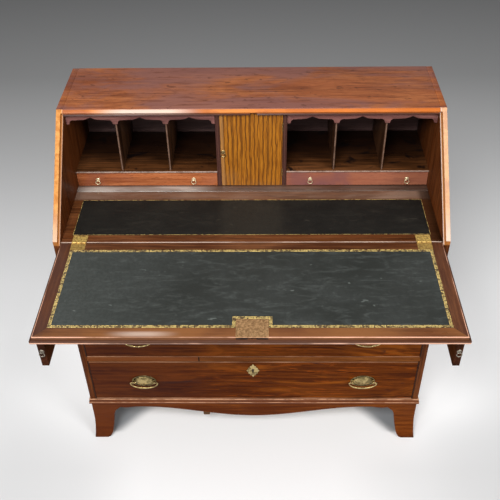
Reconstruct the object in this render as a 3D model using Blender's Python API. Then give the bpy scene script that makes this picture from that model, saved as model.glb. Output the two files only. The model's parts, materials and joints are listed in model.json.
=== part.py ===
"""Slant-front writing bureau, standing open: the fall lies on its two drawn lopers.

The case is two sides, a top, a back, a bottom and three rails with dust panels. It holds four
graduated drawers. Behind the fall a nest of pigeonholes, two letter drawers and a small cupboard
stands on the desk board. Metres, Z up, Y towards the back, the origin on the floor under the middle.
"""
import bpy
import bmesh
from math import asin, atan2, cos, hypot, pi, radians, sin
from mathutils import Matrix, Vector
from numpy import interp

for old in list(bpy.data.objects):
    bpy.data.objects.remove(old, do_unlink=True)

# Driving sizes
CASE_WIDTH = 0.965
DESK_HEIGHT = 0.762
UPPER_HEIGHT = 0.240
CASE_DEPTH = 0.456
TOP_DEPTH = 0.217
BASE_HEIGHT = 0.151

# Boards
SIDE_THICKNESS = 0.016
TOP_THICKNESS = 0.017
BACK_THICKNESS = 0.009
BOTTOM_THICKNESS = 0.020
BASE_BOARD_THICKNESS = 0.016
RAIL_HEIGHT = 0.019
RAIL_DEPTH = 0.045
DUST_PANEL_THICKNESS = 0.009
LOPER_GUIDE_THICKNESS = 0.014

# Fits
GAP = 0.0003
RUNNING = 0.0008
OVERRUN = 0.02

# Fall
FALL_THICKNESS = 0.015
FALL_LIP_THICKNESS = 0.008
FALL_LIP_REACH = 0.005
FALL_LIP_START = 0.0125
FALL_SETBACK = 0.010
REBATE_CLEARANCE = 0.0006

# Lopers
LOPER_THICKNESS = 0.016
LOPER_BACK_ROOM = 0.017
LOPER_SHORT_OF_FALL = 0.0164

# Drawers: the shares of the height in all openings that each has from the bottom up; the top drawer
# takes what they leave
DRAWER_SHARES = (0.3158, 0.2790, 0.2210)
DRAWER_BACK_ROOM = 0.032
DRAWER_FRONT_THICKNESS = 0.018
DRAWER_SIDE_THICKNESS = 0.010
DRAWER_BACK_THICKNESS = 0.009
DRAWER_FLOOR_THICKNESS = 0.006
DRAWER_SIDE_DROP = 0.008
BEAD_WIDTH = 0.003
BEAD_PROUD = 0.002

# Where the boards lie: the origin is on the floor under the middle of the open bureau
OUT_X = CASE_WIDTH / 2
IN_X = OUT_X - SIDE_THICKNESS
OVERALL_HEIGHT = DESK_HEIGHT + UPPER_HEIGHT
CEILING_Z = OVERALL_HEIGHT - TOP_THICKNESS
FALL_INNER_THICKNESS = FALL_THICKNESS - FALL_LIP_THICKNESS

# The slope is tangent to the closed fall, whose outer face meets the front corner of the top
SLOPE_RUN_Y = CASE_DEPTH - FALL_SETBACK - TOP_DEPTH
SLOPE_REACH = hypot(SLOPE_RUN_Y, UPPER_HEIGHT)
SLOPE = atan2(UPPER_HEIGHT, SLOPE_RUN_Y) - asin(FALL_THICKNESS / SLOPE_REACH)
FALL_LENGTH = (CEILING_Z - DESK_HEIGHT - FALL_INNER_THICKNESS * cos(SLOPE)) / sin(SLOPE) - RUNNING
FALL_HALF = IN_X - RUNNING
REBATE_WALL = FALL_LENGTH + FALL_LIP_REACH + REBATE_CLEARANCE
REBATE_FLOOR = FALL_INNER_THICKNESS - GAP

OPEN_DEPTH = CASE_DEPTH - FALL_SETBACK + FALL_LENGTH + FALL_LIP_REACH
BACK_Y = OPEN_DEPTH / 2
FRONT_Y = BACK_Y - CASE_DEPTH
TOP_FRONT_Y = BACK_Y - TOP_DEPTH
HINGE_Y = FRONT_Y + FALL_SETBACK
FALL_FRONT_Y = HINGE_Y - FALL_LENGTH
INNER_BACK_Y = BACK_Y - BACK_THICKNESS - GAP
DESK_UNDERSIDE_Z = DESK_HEIGHT - FALL_THICKNESS + GAP
BOTTOM_TOP_Z = BASE_HEIGHT + BOTTOM_THICKNESS
all_openings = DESK_UNDERSIDE_Z - BOTTOM_TOP_Z - len(DRAWER_SHARES) * RAIL_HEIGHT
DRAWER_OPENINGS = [share * all_openings for share in DRAWER_SHARES]
DRAWER_LENGTH = INNER_BACK_Y - FRONT_Y - DRAWER_BACK_ROOM
BOARD_HALF = IN_X - GAP

# Collections for the pieces and for the shapes that cut or join them
PART = bpy.data.collections.new("writing_bureau")
TOOLS = bpy.data.collections.new("cutters")
bpy.context.scene.collection.children.link(PART)
bpy.context.scene.collection.children.link(TOOLS)


# Materials
def material(name, colour, roughness, metallic=0.0):
    made = bpy.data.materials.new(name)
    made.use_nodes = True
    shader = made.node_tree.nodes["Principled BSDF"]
    shader.inputs["Base Color"].default_value = (*colour, 1)
    shader.inputs["Roughness"].default_value = roughness
    shader.inputs["Metallic"].default_value = metallic
    made.diffuse_color = (*colour, 1)
    return made


MAHOGANY = material("mahogany", (0.22, 0.075, 0.035), 0.35)
DARK_MAHOGANY = material("dark_mahogany", (0.10, 0.035, 0.02), 0.4)
PINE = material("pine", (0.35, 0.22, 0.12), 0.6)
STRIPED_WOOD = material("striped_wood", (0.50, 0.28, 0.06), 0.4)
LEATHER = material("leather", (0.035, 0.04, 0.035), 0.55)
BRASS = material("brass", (0.60, 0.46, 0.20), 0.35, 1.0)


# Placing pieces
def world_place(item):
    return item.location + (world_place(item.parent) if item.parent else Vector())


def carry(item, place, carrier):
    """Sets an item at a world place, under the pivot that carries it."""
    item.parent = carrier
    item.location = Vector(place) - (world_place(carrier) if carrier else Vector())


def pivot(name, place, carrier=None):
    """An empty on a joint's axis, which carries what turns or slides there."""
    empty = bpy.data.objects.new(name, None)
    empty.empty_display_size = LOPER_THICKNESS
    PART.objects.link(empty)
    carry(empty, place, carrier)
    return empty


def put(name, mesh, place, made_of, carrier=None):
    piece = bpy.data.objects.new(name, mesh)
    PART.objects.link(piece)
    carry(piece, place, carrier)
    mesh.materials.clear()
    mesh.materials.append(made_of)
    return piece


def box_mesh(name, size):
    bm = bmesh.new()
    bmesh.ops.create_cube(bm, size=1)
    bmesh.ops.transform(bm, matrix=Matrix.Diagonal((*size, 1)), verts=bm.verts)
    mesh = bpy.data.meshes.new(name)
    bm.to_mesh(mesh)
    bm.free()
    return mesh


def board(name, low, high, made_of, carrier=None):
    """A box between two world corners."""
    low, high = Vector(low), Vector(high)
    return put(name, box_mesh(name, high - low), (low + high) / 2, made_of, carrier)


# Turns that stand a flat outline up, so that its X and Y run along other world axes
FLAT = Matrix.Identity(4)
FACING_FRONT = Matrix(((1, 0, 0, 0), (0, 0, -1, 0), (0, 1, 0, 0), (0, 0, 0, 1)))
FACING_SIDE = Matrix(((0, 0, 1, 0), (1, 0, 0, 0), (0, 1, 0, 0), (0, 0, 0, 1)))
ALONG_X = Matrix.Rotation(pi / 2, 4, "Y")
ALONG_Y = Matrix.Rotation(pi / 2, 4, "X")


def curve_mesh(name, curve, turn):
    """A curve made a welded mesh, its faces pointing out whichever way the curve runs."""
    guide = bpy.data.objects.new(name, curve)
    TOOLS.objects.link(guide)
    ready = guide.evaluated_get(bpy.context.evaluated_depsgraph_get())
    mesh = bpy.data.meshes.new_from_object(ready)
    bpy.data.objects.remove(guide, do_unlink=True)
    bm = bmesh.new()
    bm.from_mesh(mesh)
    bmesh.ops.remove_doubles(bm, verts=bm.verts, dist=GAP / 10)
    bmesh.ops.transform(bm, matrix=turn, verts=bm.verts)
    bmesh.ops.recalc_face_normals(bm, faces=bm.faces)
    bm.to_mesh(mesh)
    bm.free()
    mesh.name = name
    return mesh


def slab_mesh(name, outline, thickness, turn):
    """A flat outline as a slab, half its thickness to each side."""
    curve = bpy.data.curves.new(name, "CURVE")
    curve.dimensions = "2D"
    curve.fill_mode = "BOTH"
    curve.extrude = thickness / 2
    spline = curve.splines.new("POLY")
    spline.points.add(len(outline) - 1)
    for point, (across, up) in zip(spline.points, outline):
        point.co = (across, up, 0, 1)
    spline.use_cyclic_u = True
    return curve_mesh(name, curve, turn)


def slab(name, outline, thickness, turn, place, made_of, carrier=None):
    return put(name, slab_mesh(name, outline, thickness, turn), place, made_of, carrier)


def rod_mesh(name, radius, length, along, sides=16):
    """A cylinder with a flat, and not an edge, towards each axis."""
    bm = bmesh.new()
    bmesh.ops.create_cone(bm, cap_ends=True, segments=sides, radius1=radius, radius2=radius, depth=length)
    bmesh.ops.transform(bm, matrix=along @ Matrix.Rotation(pi / sides, 4, "Z"), verts=bm.verts)
    mesh = bpy.data.meshes.new(name)
    bm.to_mesh(mesh)
    bm.free()
    return mesh


def reshape(mesh, heights, move):
    """Cuts a mesh into level bands and moves every point by move(point)."""
    bm = bmesh.new()
    bm.from_mesh(mesh)
    for height in heights:
        bmesh.ops.bisect_plane(bm, geom=bm.verts[:] + bm.edges[:] + bm.faces[:], dist=GAP / 100,
                               plane_co=(0, 0, height), plane_no=(0, 0, 1))
    for vert in bm.verts:
        vert.co = move(vert.co)
    bm.to_mesh(mesh)
    bm.free()


def smooth(piece):
    piece.data.shade_smooth()
    piece.data.set_sharp_from_angle(angle=radians(35))


# Cutting and joining
def tool(name, mesh, place, carrier=None):
    """A shape that is only there to cut or to join."""
    shape = bpy.data.objects.new(name, mesh)
    TOOLS.objects.link(shape)
    carry(shape, place, carrier)
    shape.hide_render = True
    shape.display_type = "WIRE"
    return shape


def box_tool(name, low, high, carrier=None):
    low, high = Vector(low), Vector(high)
    return tool(name, box_mesh(name, high - low), (low + high) / 2, carrier)


def combine(piece, shape, operation):
    step = piece.modifiers.new(shape.name, "BOOLEAN")
    step.operation = operation
    step.solver = "EXACT"
    step.object = shape


def cut(piece, shape):
    combine(piece, shape, "DIFFERENCE")


def join(piece, shape):
    combine(piece, shape, "UNION")


# Points on the slope: along it from the hinge axis, and out from the closed fall's inner face
def on_slope(along, out):
    return (HINGE_Y + along * cos(SLOPE) - out * sin(SLOPE), DESK_HEIGHT + along * sin(SLOPE) + out * cos(SLOPE))


# Sides, their sloping edges rebated for the closed fall's lip
def case_side(name, sign):
    foot_along = (FALL_THICKNESS * sin(SLOPE) - FALL_SETBACK) / cos(SLOPE)
    outline = [
        (BACK_Y, BASE_HEIGHT + GAP),
        (BACK_Y, OVERALL_HEIGHT),
        (TOP_FRONT_Y, OVERALL_HEIGHT),
        on_slope(foot_along, FALL_THICKNESS),
        (FRONT_Y, BASE_HEIGHT + GAP),
    ]
    side = slab(name, outline, SIDE_THICKNESS, FACING_SIDE, (sign * (IN_X + OUT_X) / 2, 0, 0), MAHOGANY)
    rebate = [
        on_slope(-OVERRUN, REBATE_FLOOR),
        on_slope(REBATE_WALL, REBATE_FLOOR),
        on_slope(REBATE_WALL, FALL_THICKNESS + OVERRUN),
        on_slope(-OVERRUN, FALL_THICKNESS + OVERRUN),
    ]
    rebate_edge = FALL_HALF + FALL_LIP_REACH + REBATE_CLEARANCE
    rebate_name = name + "_rebate"
    rebate_mesh = slab_mesh(rebate_name, rebate, 2 * OVERRUN, FACING_SIDE)
    cut(side, tool(rebate_name, rebate_mesh, (sign * (rebate_edge - OVERRUN), 0, 0)))


case_side("side_left", -1)
case_side("side_right", 1)

# Lock values, shared by the fall, its lock and the mortise in the top
LOCK_X = 0.0062
LOCK_HALF = 0.0355
LOCK_PLATE_LENGTH = 0.054
LOCK_PLATE_THICKNESS = 0.0015
LOCK_CASE_HALF = 0.026
LOCK_CASE_LENGTH = 0.044
LOCK_CASE_DEPTH = 0.0065
BOLT_HALF = 0.008
BOLT_TOP = 0.0028
BOLT_THICKNESS = 0.0026
BOLT_LENGTH = 0.030
BOLT_THROW = 0.009

# Top, its front edge on the slope and rebated like the sides, with a mortise for the fall's bolt
ceiling_along = (CEILING_Z - DESK_HEIGHT - REBATE_FLOOR * cos(SLOPE)) / sin(SLOPE)
top_outline = [
    (BACK_Y, CEILING_Z),
    (BACK_Y, OVERALL_HEIGHT),
    (TOP_FRONT_Y, OVERALL_HEIGHT),
    on_slope(REBATE_WALL, FALL_THICKNESS),
    on_slope(REBATE_WALL, REBATE_FLOOR),
    on_slope(ceiling_along, REBATE_FLOOR),
]
top_board = slab("top_board", top_outline, 2 * BOARD_HALF, FACING_SIDE, (0, 0, 0), MAHOGANY)
mortise_outline = [
    on_slope(FALL_LENGTH - OVERRUN, BOLT_TOP - RUNNING),
    on_slope(FALL_LENGTH + BOLT_THROW + RUNNING, BOLT_TOP - RUNNING),
    on_slope(FALL_LENGTH + BOLT_THROW + RUNNING, FALL_INNER_THICKNESS),
    on_slope(FALL_LENGTH - OVERRUN, FALL_INNER_THICKNESS),
]
mortise_mesh = slab_mesh("bolt_mortise", mortise_outline, 2 * (BOLT_HALF + RUNNING), FACING_SIDE)
cut(top_board, tool("bolt_mortise", mortise_mesh, (LOCK_X, 0, 0)))

# Back and bottom
board("back_board", (-BOARD_HALF, BACK_Y - BACK_THICKNESS, BASE_HEIGHT + GAP),
      (BOARD_HALF, BACK_Y, CEILING_Z - GAP), PINE)
board("bottom_board", (-BOARD_HALF, FRONT_Y, BASE_HEIGHT + GAP), (BOARD_HALF, INNER_BACK_Y, BOTTOM_TOP_Z), PINE)

# Rails with their dust panels, one over each drawer but the top one
drawer_floors = [BOTTOM_TOP_Z]
for name, opening in zip(("rail_lower", "rail_middle", "rail_upper"), DRAWER_OPENINGS):
    level = drawer_floors[-1] + opening + RAIL_HEIGHT
    drawer_floors.append(level)
    rail_outline = [
        (FRONT_Y, level - RAIL_HEIGHT),
        (FRONT_Y, level),
        (INNER_BACK_Y, level),
        (INNER_BACK_Y, level - DUST_PANEL_THICKNESS),
        (FRONT_Y + RAIL_DEPTH, level - DUST_PANEL_THICKNESS),
        (FRONT_Y + RAIL_DEPTH, level - RAIL_HEIGHT),
    ]
    slab(name, rail_outline, 2 * BOARD_HALF, FACING_SIDE, (0, 0, 0), MAHOGANY)
LOPER_FLOOR_Z = drawer_floors[-1]

# Guides between the lopers and the top drawer
LOPER_SLOT = LOPER_THICKNESS + 2 * RUNNING
GUIDE_OUT = IN_X - LOPER_SLOT
GUIDE_IN = GUIDE_OUT - LOPER_GUIDE_THICKNESS
board("loper_guide_left", (-GUIDE_OUT, FRONT_Y, LOPER_FLOOR_Z + GAP),
      (-GUIDE_IN, INNER_BACK_Y, DESK_UNDERSIDE_Z - 2 * GAP), MAHOGANY)
board("loper_guide_right", (GUIDE_IN, FRONT_Y, LOPER_FLOOR_Z + GAP),
      (GUIDE_OUT, INNER_BACK_Y, DESK_UNDERSIDE_Z - 2 * GAP), MAHOGANY)

# Base: an apron board with feet across the front and one along each side, flared at the floor
FOOT_SOLE = 0.037
FOOT_SPREAD = 0.0465
FOOT_RISE = 0.857 * BASE_HEIGHT
FOOT_RISE_SHARES = (0, 0.03, 0.10, 0.20, 0.45, 0.75, 0.88, 1)
FOOT_SPREAD_SHARES = (0, 0.16, 0.27, 0.34, 0.43, 0.53, 0.67, 1)
CUSP_FROM_CORNER = 0.0985
CUSP_Z = 0.841 * BASE_HEIGHT
APRON_FROM_CORNER = 0.1375
APRON_Z = 0.872 * BASE_HEIGHT
APRON_DROP = 0.275 * BASE_HEIGHT
APRON_FLAT = 0.015
APRON_DROP_HALF = OUT_X - APRON_FROM_CORNER - APRON_FLAT
APRON_STEPS = 10
FLARE_FORWARD = 0.015
FLARE_SIDE = 0.007
FLARE_HEIGHT = 0.662 * BASE_HEIGHT
FLARE_LEVELS = 5


def bracket_edge():
    """The foot's inner edge and the cusp above it, as distances from the corner and heights."""
    edge = [(FOOT_SOLE + FOOT_SPREAD * spread, FOOT_RISE * rise)
            for rise, spread in zip(FOOT_RISE_SHARES, FOOT_SPREAD_SHARES)]
    edge.append((CUSP_FROM_CORNER, CUSP_Z))
    edge.append(((CUSP_FROM_CORNER + APRON_FROM_CORNER) / 2, (CUSP_Z + 2 * APRON_Z) / 3))
    edge.append((APRON_FROM_CORNER, APRON_Z))
    return edge


flare_heights = [FLARE_HEIGHT * step / FLARE_LEVELS for step in range(FLARE_LEVELS + 1)]
flare_shares = [(1 - step / FLARE_LEVELS) ** 2 for step in range(FLARE_LEVELS + 1)]


def flare(height):
    """The share of the whole flare that a height has."""
    return interp(height, flare_heights, flare_shares)


def front_flare(point):
    outward = FLARE_SIDE * flare(point.z) * interp(abs(point.x), (OUT_X - APRON_FROM_CORNER, OUT_X), (0, 1))
    forward = FLARE_FORWARD * flare(point.z)
    return Vector((point.x + (outward if point.x > 0 else -outward), point.y - forward, point.z))


front_half = [(OUT_X, BASE_HEIGHT), (OUT_X, 0)]
front_half += [(OUT_X - from_corner, height) for from_corner, height in bracket_edge()]
for step in range(APRON_STEPS + 1):
    share = 1 - step / APRON_STEPS
    front_half.append((APRON_DROP_HALF * share, APRON_Z - APRON_DROP * (1 + cos(pi * share)) / 2))
front_outline = front_half + [(-across, height) for across, height in reversed(front_half[:-1])]
base_front = slab_mesh("base_front", front_outline, BASE_BOARD_THICKNESS, FACING_FRONT)
base_front.transform(Matrix.Translation((0, FRONT_Y + BASE_BOARD_THICKNESS / 2, 0)))
reshape(base_front, flare_heights[1:], front_flare)
put("base_front", base_front, (0, 0, 0), MAHOGANY)


def base_side(name, sign):
    edge = bracket_edge()
    start_y = FRONT_Y + BASE_BOARD_THICKNESS + GAP
    outline = [(start_y, BASE_HEIGHT), (start_y, 0)]
    outline += [(FRONT_Y + from_corner, height) for from_corner, height in edge]
    outline += [(BACK_Y - from_corner, height) for from_corner, height in reversed(edge)]
    outline += [(BACK_Y, 0), (BACK_Y, BASE_HEIGHT)]

    def side_flare(point):
        before_arch = interp(point.y, (FRONT_Y + APRON_FROM_CORNER, BACK_Y - APRON_FROM_CORNER), (1, 0))
        forward = FLARE_FORWARD * flare(point.z) * before_arch
        return Vector((point.x + sign * FLARE_SIDE * flare(point.z), point.y - forward, point.z))

    mesh = slab_mesh(name, outline, BASE_BOARD_THICKNESS, FACING_SIDE)
    mesh.transform(Matrix.Translation((sign * (OUT_X - BASE_BOARD_THICKNESS / 2), 0, 0)))
    reshape(mesh, flare_heights[1:], side_flare)
    put(name, mesh, (0, 0, 0), MAHOGANY)


base_side("base_side_left", -1)
base_side("base_side_right", 1)

# Moulding round the foot of the case, on the front and both sides
MOULDING_HEIGHT = 0.0185
MOULDING_PROUD = 0.005
MOULDING_HEIGHT_SHARES = (0, 0.45, 0.52, 0.70, 0.88, 1)
MOULDING_PROUD_SHARES = (1, 1, 0.80, 0.72, 0.44, 0.38)
moulding_outline = [
    (-OUT_X - MOULDING_PROUD, BACK_Y),
    (-OUT_X - MOULDING_PROUD, FRONT_Y - MOULDING_PROUD),
    (OUT_X + MOULDING_PROUD, FRONT_Y - MOULDING_PROUD),
    (OUT_X + MOULDING_PROUD, BACK_Y),
    (OUT_X + GAP, BACK_Y),
    (OUT_X + GAP, FRONT_Y - GAP),
    (-OUT_X - GAP, FRONT_Y - GAP),
    (-OUT_X - GAP, BACK_Y),
]
moulding_heights = [BASE_HEIGHT + MOULDING_HEIGHT * share for share in MOULDING_HEIGHT_SHARES]


def moulding_profile(point):
    proud = MOULDING_PROUD * interp(point.z, moulding_heights, MOULDING_PROUD_SHARES)
    moved = point.copy()
    if abs(point.x) > OUT_X + 2 * GAP:
        moved.x = (OUT_X + proud) * (1 if point.x > 0 else -1)
    if point.y < FRONT_Y - 2 * GAP:
        moved.y = FRONT_Y - proud
    return moved


base_moulding = slab_mesh("base_moulding", moulding_outline, MOULDING_HEIGHT, FLAT)
base_moulding.transform(Matrix.Translation((0, 0, BASE_HEIGHT + MOULDING_HEIGHT / 2)))
reshape(base_moulding, moulding_heights[1:-1], moulding_profile)
put("base_moulding", base_moulding, (0, 0, 0), MAHOGANY)

# Fall board: an inner part that fits between the sides, and the lip that shuts on their rebates
fall_axis = pivot("fall_axis", (0, HINGE_Y, DESK_HEIGHT))
fall_board = board("fall_board", (-FALL_HALF, FALL_FRONT_Y, DESK_HEIGHT - FALL_THICKNESS + GAP),
                   (FALL_HALF, HINGE_Y - GAP, DESK_HEIGHT), MAHOGANY, fall_axis)
lip_half = FALL_HALF + FALL_LIP_REACH
join(fall_board, box_tool("fall_lip", (-lip_half, FALL_FRONT_Y - FALL_LIP_REACH, DESK_HEIGHT - FALL_THICKNESS),
                          (lip_half, HINGE_Y - FALL_LIP_START, DESK_HEIGHT - FALL_INNER_THICKNESS), fall_axis))

# Desk board, level with the open fall
desk_board = board("desk_board", (-BOARD_HALF, HINGE_Y, DESK_UNDERSIDE_Z),
                   (BOARD_HALF, INNER_BACK_Y, DESK_HEIGHT), MAHOGANY)

# Leather, let in flush on both boards; on the fall it steps round the lock
LEATHER_THICKNESS = 0.001
FALL_LEATHER_MARGIN = 0.028
LEATHER_TO_LOCK = GAP
DESK_LEATHER_SIDE_MARGIN = 0.0245
DESK_LEATHER_HINGE_MARGIN = 0.029
DESK_LEATHER_LENGTH = 0.144


def fall_leather_outline(grow):
    side = FALL_HALF - FALL_LEATHER_MARGIN + grow
    near = HINGE_Y - FALL_LEATHER_MARGIN + grow
    far = FALL_FRONT_Y + FALL_LEATHER_MARGIN - grow
    notch = LOCK_HALF + LEATHER_TO_LOCK - grow
    notch_y = FALL_FRONT_Y + LOCK_PLATE_LENGTH + LEATHER_TO_LOCK - grow
    return [(-side, near), (-side, far), (LOCK_X - notch, far), (LOCK_X - notch, notch_y),
            (LOCK_X + notch, notch_y), (LOCK_X + notch, far), (side, far), (side, near)]


def desk_leather_outline(grow):
    side = IN_X - DESK_LEATHER_SIDE_MARGIN + grow
    near = HINGE_Y + DESK_LEATHER_HINGE_MARGIN - grow
    far = HINGE_Y + DESK_LEATHER_HINGE_MARGIN + DESK_LEATHER_LENGTH + grow
    return [(-side, near), (side, near), (side, far), (-side, far)]


def let_in_leather(name, outline, base, carrier=None):
    place = (0, 0, DESK_HEIGHT - LEATHER_THICKNESS / 2)
    slab(name, outline(0), LEATHER_THICKNESS, FLAT, place, LEATHER, carrier)
    depth = LEATHER_THICKNESS + GAP + OVERRUN
    pocket_name = name + "_pocket"
    pocket = slab_mesh(pocket_name, outline(GAP), depth, FLAT)
    cut(base, tool(pocket_name, pocket, (0, 0, DESK_HEIGHT + OVERRUN - depth / 2), carrier))


let_in_leather("fall_leather", fall_leather_outline, fall_board, fall_axis)
let_in_leather("desk_leather", desk_leather_outline, desk_board)

# Lock of the fall: a plate and a case let into its free edge, and a bolt that slides out of it. It
# sits a little to the right of the middle
def lock_box(half, low_y, high_y, low_z, high_z):
    """Two corners of a box about the lock's own middle."""
    return (LOCK_X - half, low_y, low_z), (LOCK_X + half, high_y, high_z)


plate_end_y, case_end_y = FALL_FRONT_Y + LOCK_PLATE_LENGTH, FALL_FRONT_Y + LOCK_CASE_LENGTH
bolt_low_z, bolt_high_z = DESK_HEIGHT - BOLT_TOP - BOLT_THICKNESS, DESK_HEIGHT - BOLT_TOP
fall_lock = board("fall_lock", *lock_box(LOCK_HALF, FALL_FRONT_Y, plate_end_y, DESK_HEIGHT - LOCK_PLATE_THICKNESS,
                                         DESK_HEIGHT), BRASS, fall_axis)
join(fall_lock, box_tool("lock_case", *lock_box(LOCK_CASE_HALF, FALL_FRONT_Y + GAP, case_end_y,
                                                DESK_HEIGHT - LOCK_CASE_DEPTH,
                                                DESK_HEIGHT - LOCK_PLATE_THICKNESS / 2), fall_axis))
cut(fall_lock, box_tool("bolt_channel", *lock_box(BOLT_HALF + GAP, FALL_FRONT_Y - OVERRUN,
                                                  FALL_FRONT_Y + BOLT_LENGTH + GAP, bolt_low_z - GAP,
                                                  bolt_high_z + GAP), fall_axis))
cut(fall_board, box_tool("lock_plate_pocket", *lock_box(LOCK_HALF + GAP, FALL_FRONT_Y - OVERRUN, plate_end_y + GAP,
                                                        DESK_HEIGHT - LOCK_PLATE_THICKNESS - GAP,
                                                        DESK_HEIGHT + OVERRUN), fall_axis))
cut(fall_board, box_tool("lock_case_pocket", *lock_box(LOCK_CASE_HALF + GAP, FALL_FRONT_Y - OVERRUN,
                                                       case_end_y + GAP, DESK_HEIGHT - LOCK_CASE_DEPTH - GAP,
                                                       DESK_HEIGHT + OVERRUN), fall_axis))
bolt_slide = pivot("fall_lock_bolt_slide", (LOCK_X, FALL_FRONT_Y, bolt_low_z), fall_axis)
board("fall_lock_bolt", *lock_box(BOLT_HALF, FALL_FRONT_Y, FALL_FRONT_Y + BOLT_LENGTH, bolt_low_z, bolt_high_z),
      BRASS, bolt_slide)

# Butt hinges: a leaf with two knuckles and the pin on the desk, a leaf with one on the fall
HINGE_FROM_END = 0.0455
HINGE_CENTRE_X = IN_X - HINGE_FROM_END
HINGE_WIDTH = 0.036
HINGE_LEAF_LENGTH = 0.0276
HINGE_LEAF_THICKNESS = 0.002
KNUCKLE_RADIUS = 0.003
KNUCKLE_CLEARANCE = 0.0004
PIN_RADIUS = 0.0012
KNUCKLE_LENGTH = HINGE_WIDTH / 3


def fall_hinge_pair(side, sign):
    centre = (sign * HINGE_CENTRE_X, HINGE_Y, DESK_HEIGHT)
    leaf_place = (centre[0], HINGE_Y, DESK_HEIGHT - HINGE_LEAF_THICKNESS / 2)
    half, knuckle = HINGE_WIDTH / 2, KNUCKLE_LENGTH / 2
    leaf, start = half - GAP, KNUCKLE_RADIUS + KNUCKLE_CLEARANCE

    # The desk's leaf runs into its two knuckles beside a notch, and the fall's has a tongue into its own
    notch, tongue = knuckle + 2 * GAP, knuckle - GAP
    outline = [(-leaf, 0), (-leaf, HINGE_LEAF_LENGTH), (leaf, HINGE_LEAF_LENGTH), (leaf, 0),
               (notch, 0), (notch, start), (-notch, start), (-notch, 0)]
    desk_leaf = slab("desk_hinge_" + side, outline, HINGE_LEAF_THICKNESS, FLAT, leaf_place, BRASS)
    outer = [(-half, -knuckle - GAP), (knuckle + GAP, half)]
    for end, (low, high) in zip(("near", "far"), outer):
        name = f"desk_knuckle_{end}_{side}"
        place = (centre[0] + (low + high) / 2, HINGE_Y, DESK_HEIGHT)
        join(desk_leaf, tool(name, rod_mesh(name, KNUCKLE_RADIUS, high - low, ALONG_X), place))
    pin = "desk_hinge_pin_" + side
    join(desk_leaf, tool(pin, rod_mesh(pin, PIN_RADIUS, 2 * KNUCKLE_LENGTH, ALONG_X), centre))
    smooth(desk_leaf)

    outline = [(-leaf, -start), (-leaf, -HINGE_LEAF_LENGTH), (leaf, -HINGE_LEAF_LENGTH), (leaf, -start),
               (tongue, -start), (tongue, 0), (-tongue, 0), (-tongue, -start)]
    fall_leaf = slab("fall_hinge_" + side, outline, HINGE_LEAF_THICKNESS, FLAT, leaf_place, BRASS, fall_axis)
    name = "fall_knuckle_" + side
    join(fall_leaf, tool(name, rod_mesh(name, KNUCKLE_RADIUS, KNUCKLE_LENGTH, ALONG_X), centre, fall_axis))
    bore = "fall_knuckle_bore_" + side
    cut(fall_leaf, tool(bore, rod_mesh(bore, PIN_RADIUS + GAP, HINGE_WIDTH, ALONG_X), centre, fall_axis))
    smooth(fall_leaf)

    for base, toward, carrier in ((desk_board, 1, None), (fall_board, -1, fall_axis)):
        name = f"{base.name}_hinge_pocket_{side}"
        low_y, high_y = sorted((HINGE_Y - toward * OVERRUN, HINGE_Y + toward * (HINGE_LEAF_LENGTH + GAP)))
        pocket = box_tool(name, (centre[0] - half - GAP, low_y, DESK_HEIGHT - HINGE_LEAF_THICKNESS - GAP),
                          (centre[0] + half + GAP, high_y, DESK_HEIGHT + OVERRUN), carrier)
        cut(base, pocket)
        groove = f"{base.name}_hinge_groove_{side}"
        groove_mesh = rod_mesh(groove, KNUCKLE_RADIUS + KNUCKLE_CLEARANCE, HINGE_WIDTH + 4 * GAP, ALONG_X)
        cut(base, tool(groove, groove_mesh, centre, carrier))


fall_hinge_pair("left", -1)
fall_hinge_pair("right", 1)

# Ring pulls: a rosette and a lug, joined to the front that carries them, and a ring through the lug
ROSETTE_RADIUS = 0.0055
ROSETTE_THICKNESS = 0.001
LUG_HALF_X = 0.0009
LUG_HALF_Z = 0.0026
LUG_REACH = 0.0070
LUG_HOLE_REACH = 0.0045
LUG_HOLE_RADIUS = 0.0014
RING_RADIUS = 0.0058
RING_WIRE_RADIUS = 0.0008


def ring_pull(name, front, place, carrier):
    """A ring that hangs at place, which lies on the face of the front."""
    x, face, z = place
    rosette_mesh = rod_mesh(name + "_rosette", ROSETTE_RADIUS, 2 * ROSETTE_THICKNESS, ALONG_Y)
    join(front, tool(name + "_rosette", rosette_mesh, place, carrier))
    join(front, box_tool(name + "_lug", (x - LUG_HALF_X, face - LUG_REACH, z - LUG_HALF_Z),
                         (x + LUG_HALF_X, face + ROSETTE_THICKNESS / 2, z + LUG_HALF_Z), carrier))
    hole = (x, face - LUG_HOLE_REACH, z)
    hole_mesh = rod_mesh(name + "_hole", LUG_HOLE_RADIUS, ROSETTE_RADIUS, ALONG_X, 12)
    cut(front, tool(name + "_hole", hole_mesh, hole, carrier))

    bpy.ops.mesh.primitive_torus_add(major_segments=20, minor_segments=8, major_radius=RING_RADIUS,
                                     minor_radius=RING_WIRE_RADIUS)
    ring = bpy.context.active_object
    ring.name = name
    ring.data.name = name
    ring.data.transform(Matrix.Translation((0, 0, -RING_RADIUS)) @ ALONG_Y)
    ring.data.materials.append(BRASS)
    for home in list(ring.users_collection):
        home.objects.unlink(ring)
    PART.objects.link(ring)
    carry(ring, hole, pivot(name + "_axis", hole, carrier))
    smooth(ring)


# Lopers, drawn out under the fall
LOPER_TOP_Z = DESK_HEIGHT - FALL_THICKNESS - GAP
LOPER_CENTRE_X = IN_X - RUNNING - LOPER_THICKNESS / 2
LOPER_FRONT_Y = FALL_FRONT_Y + LOPER_SHORT_OF_FALL
LOPER_DRAWN = FRONT_Y - LOPER_FRONT_Y
LOPER_LENGTH = INNER_BACK_Y - FRONT_Y - LOPER_BACK_ROOM
LOPER_PULL_Z = (LOPER_FLOOR_Z + LOPER_TOP_Z) / 2


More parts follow.
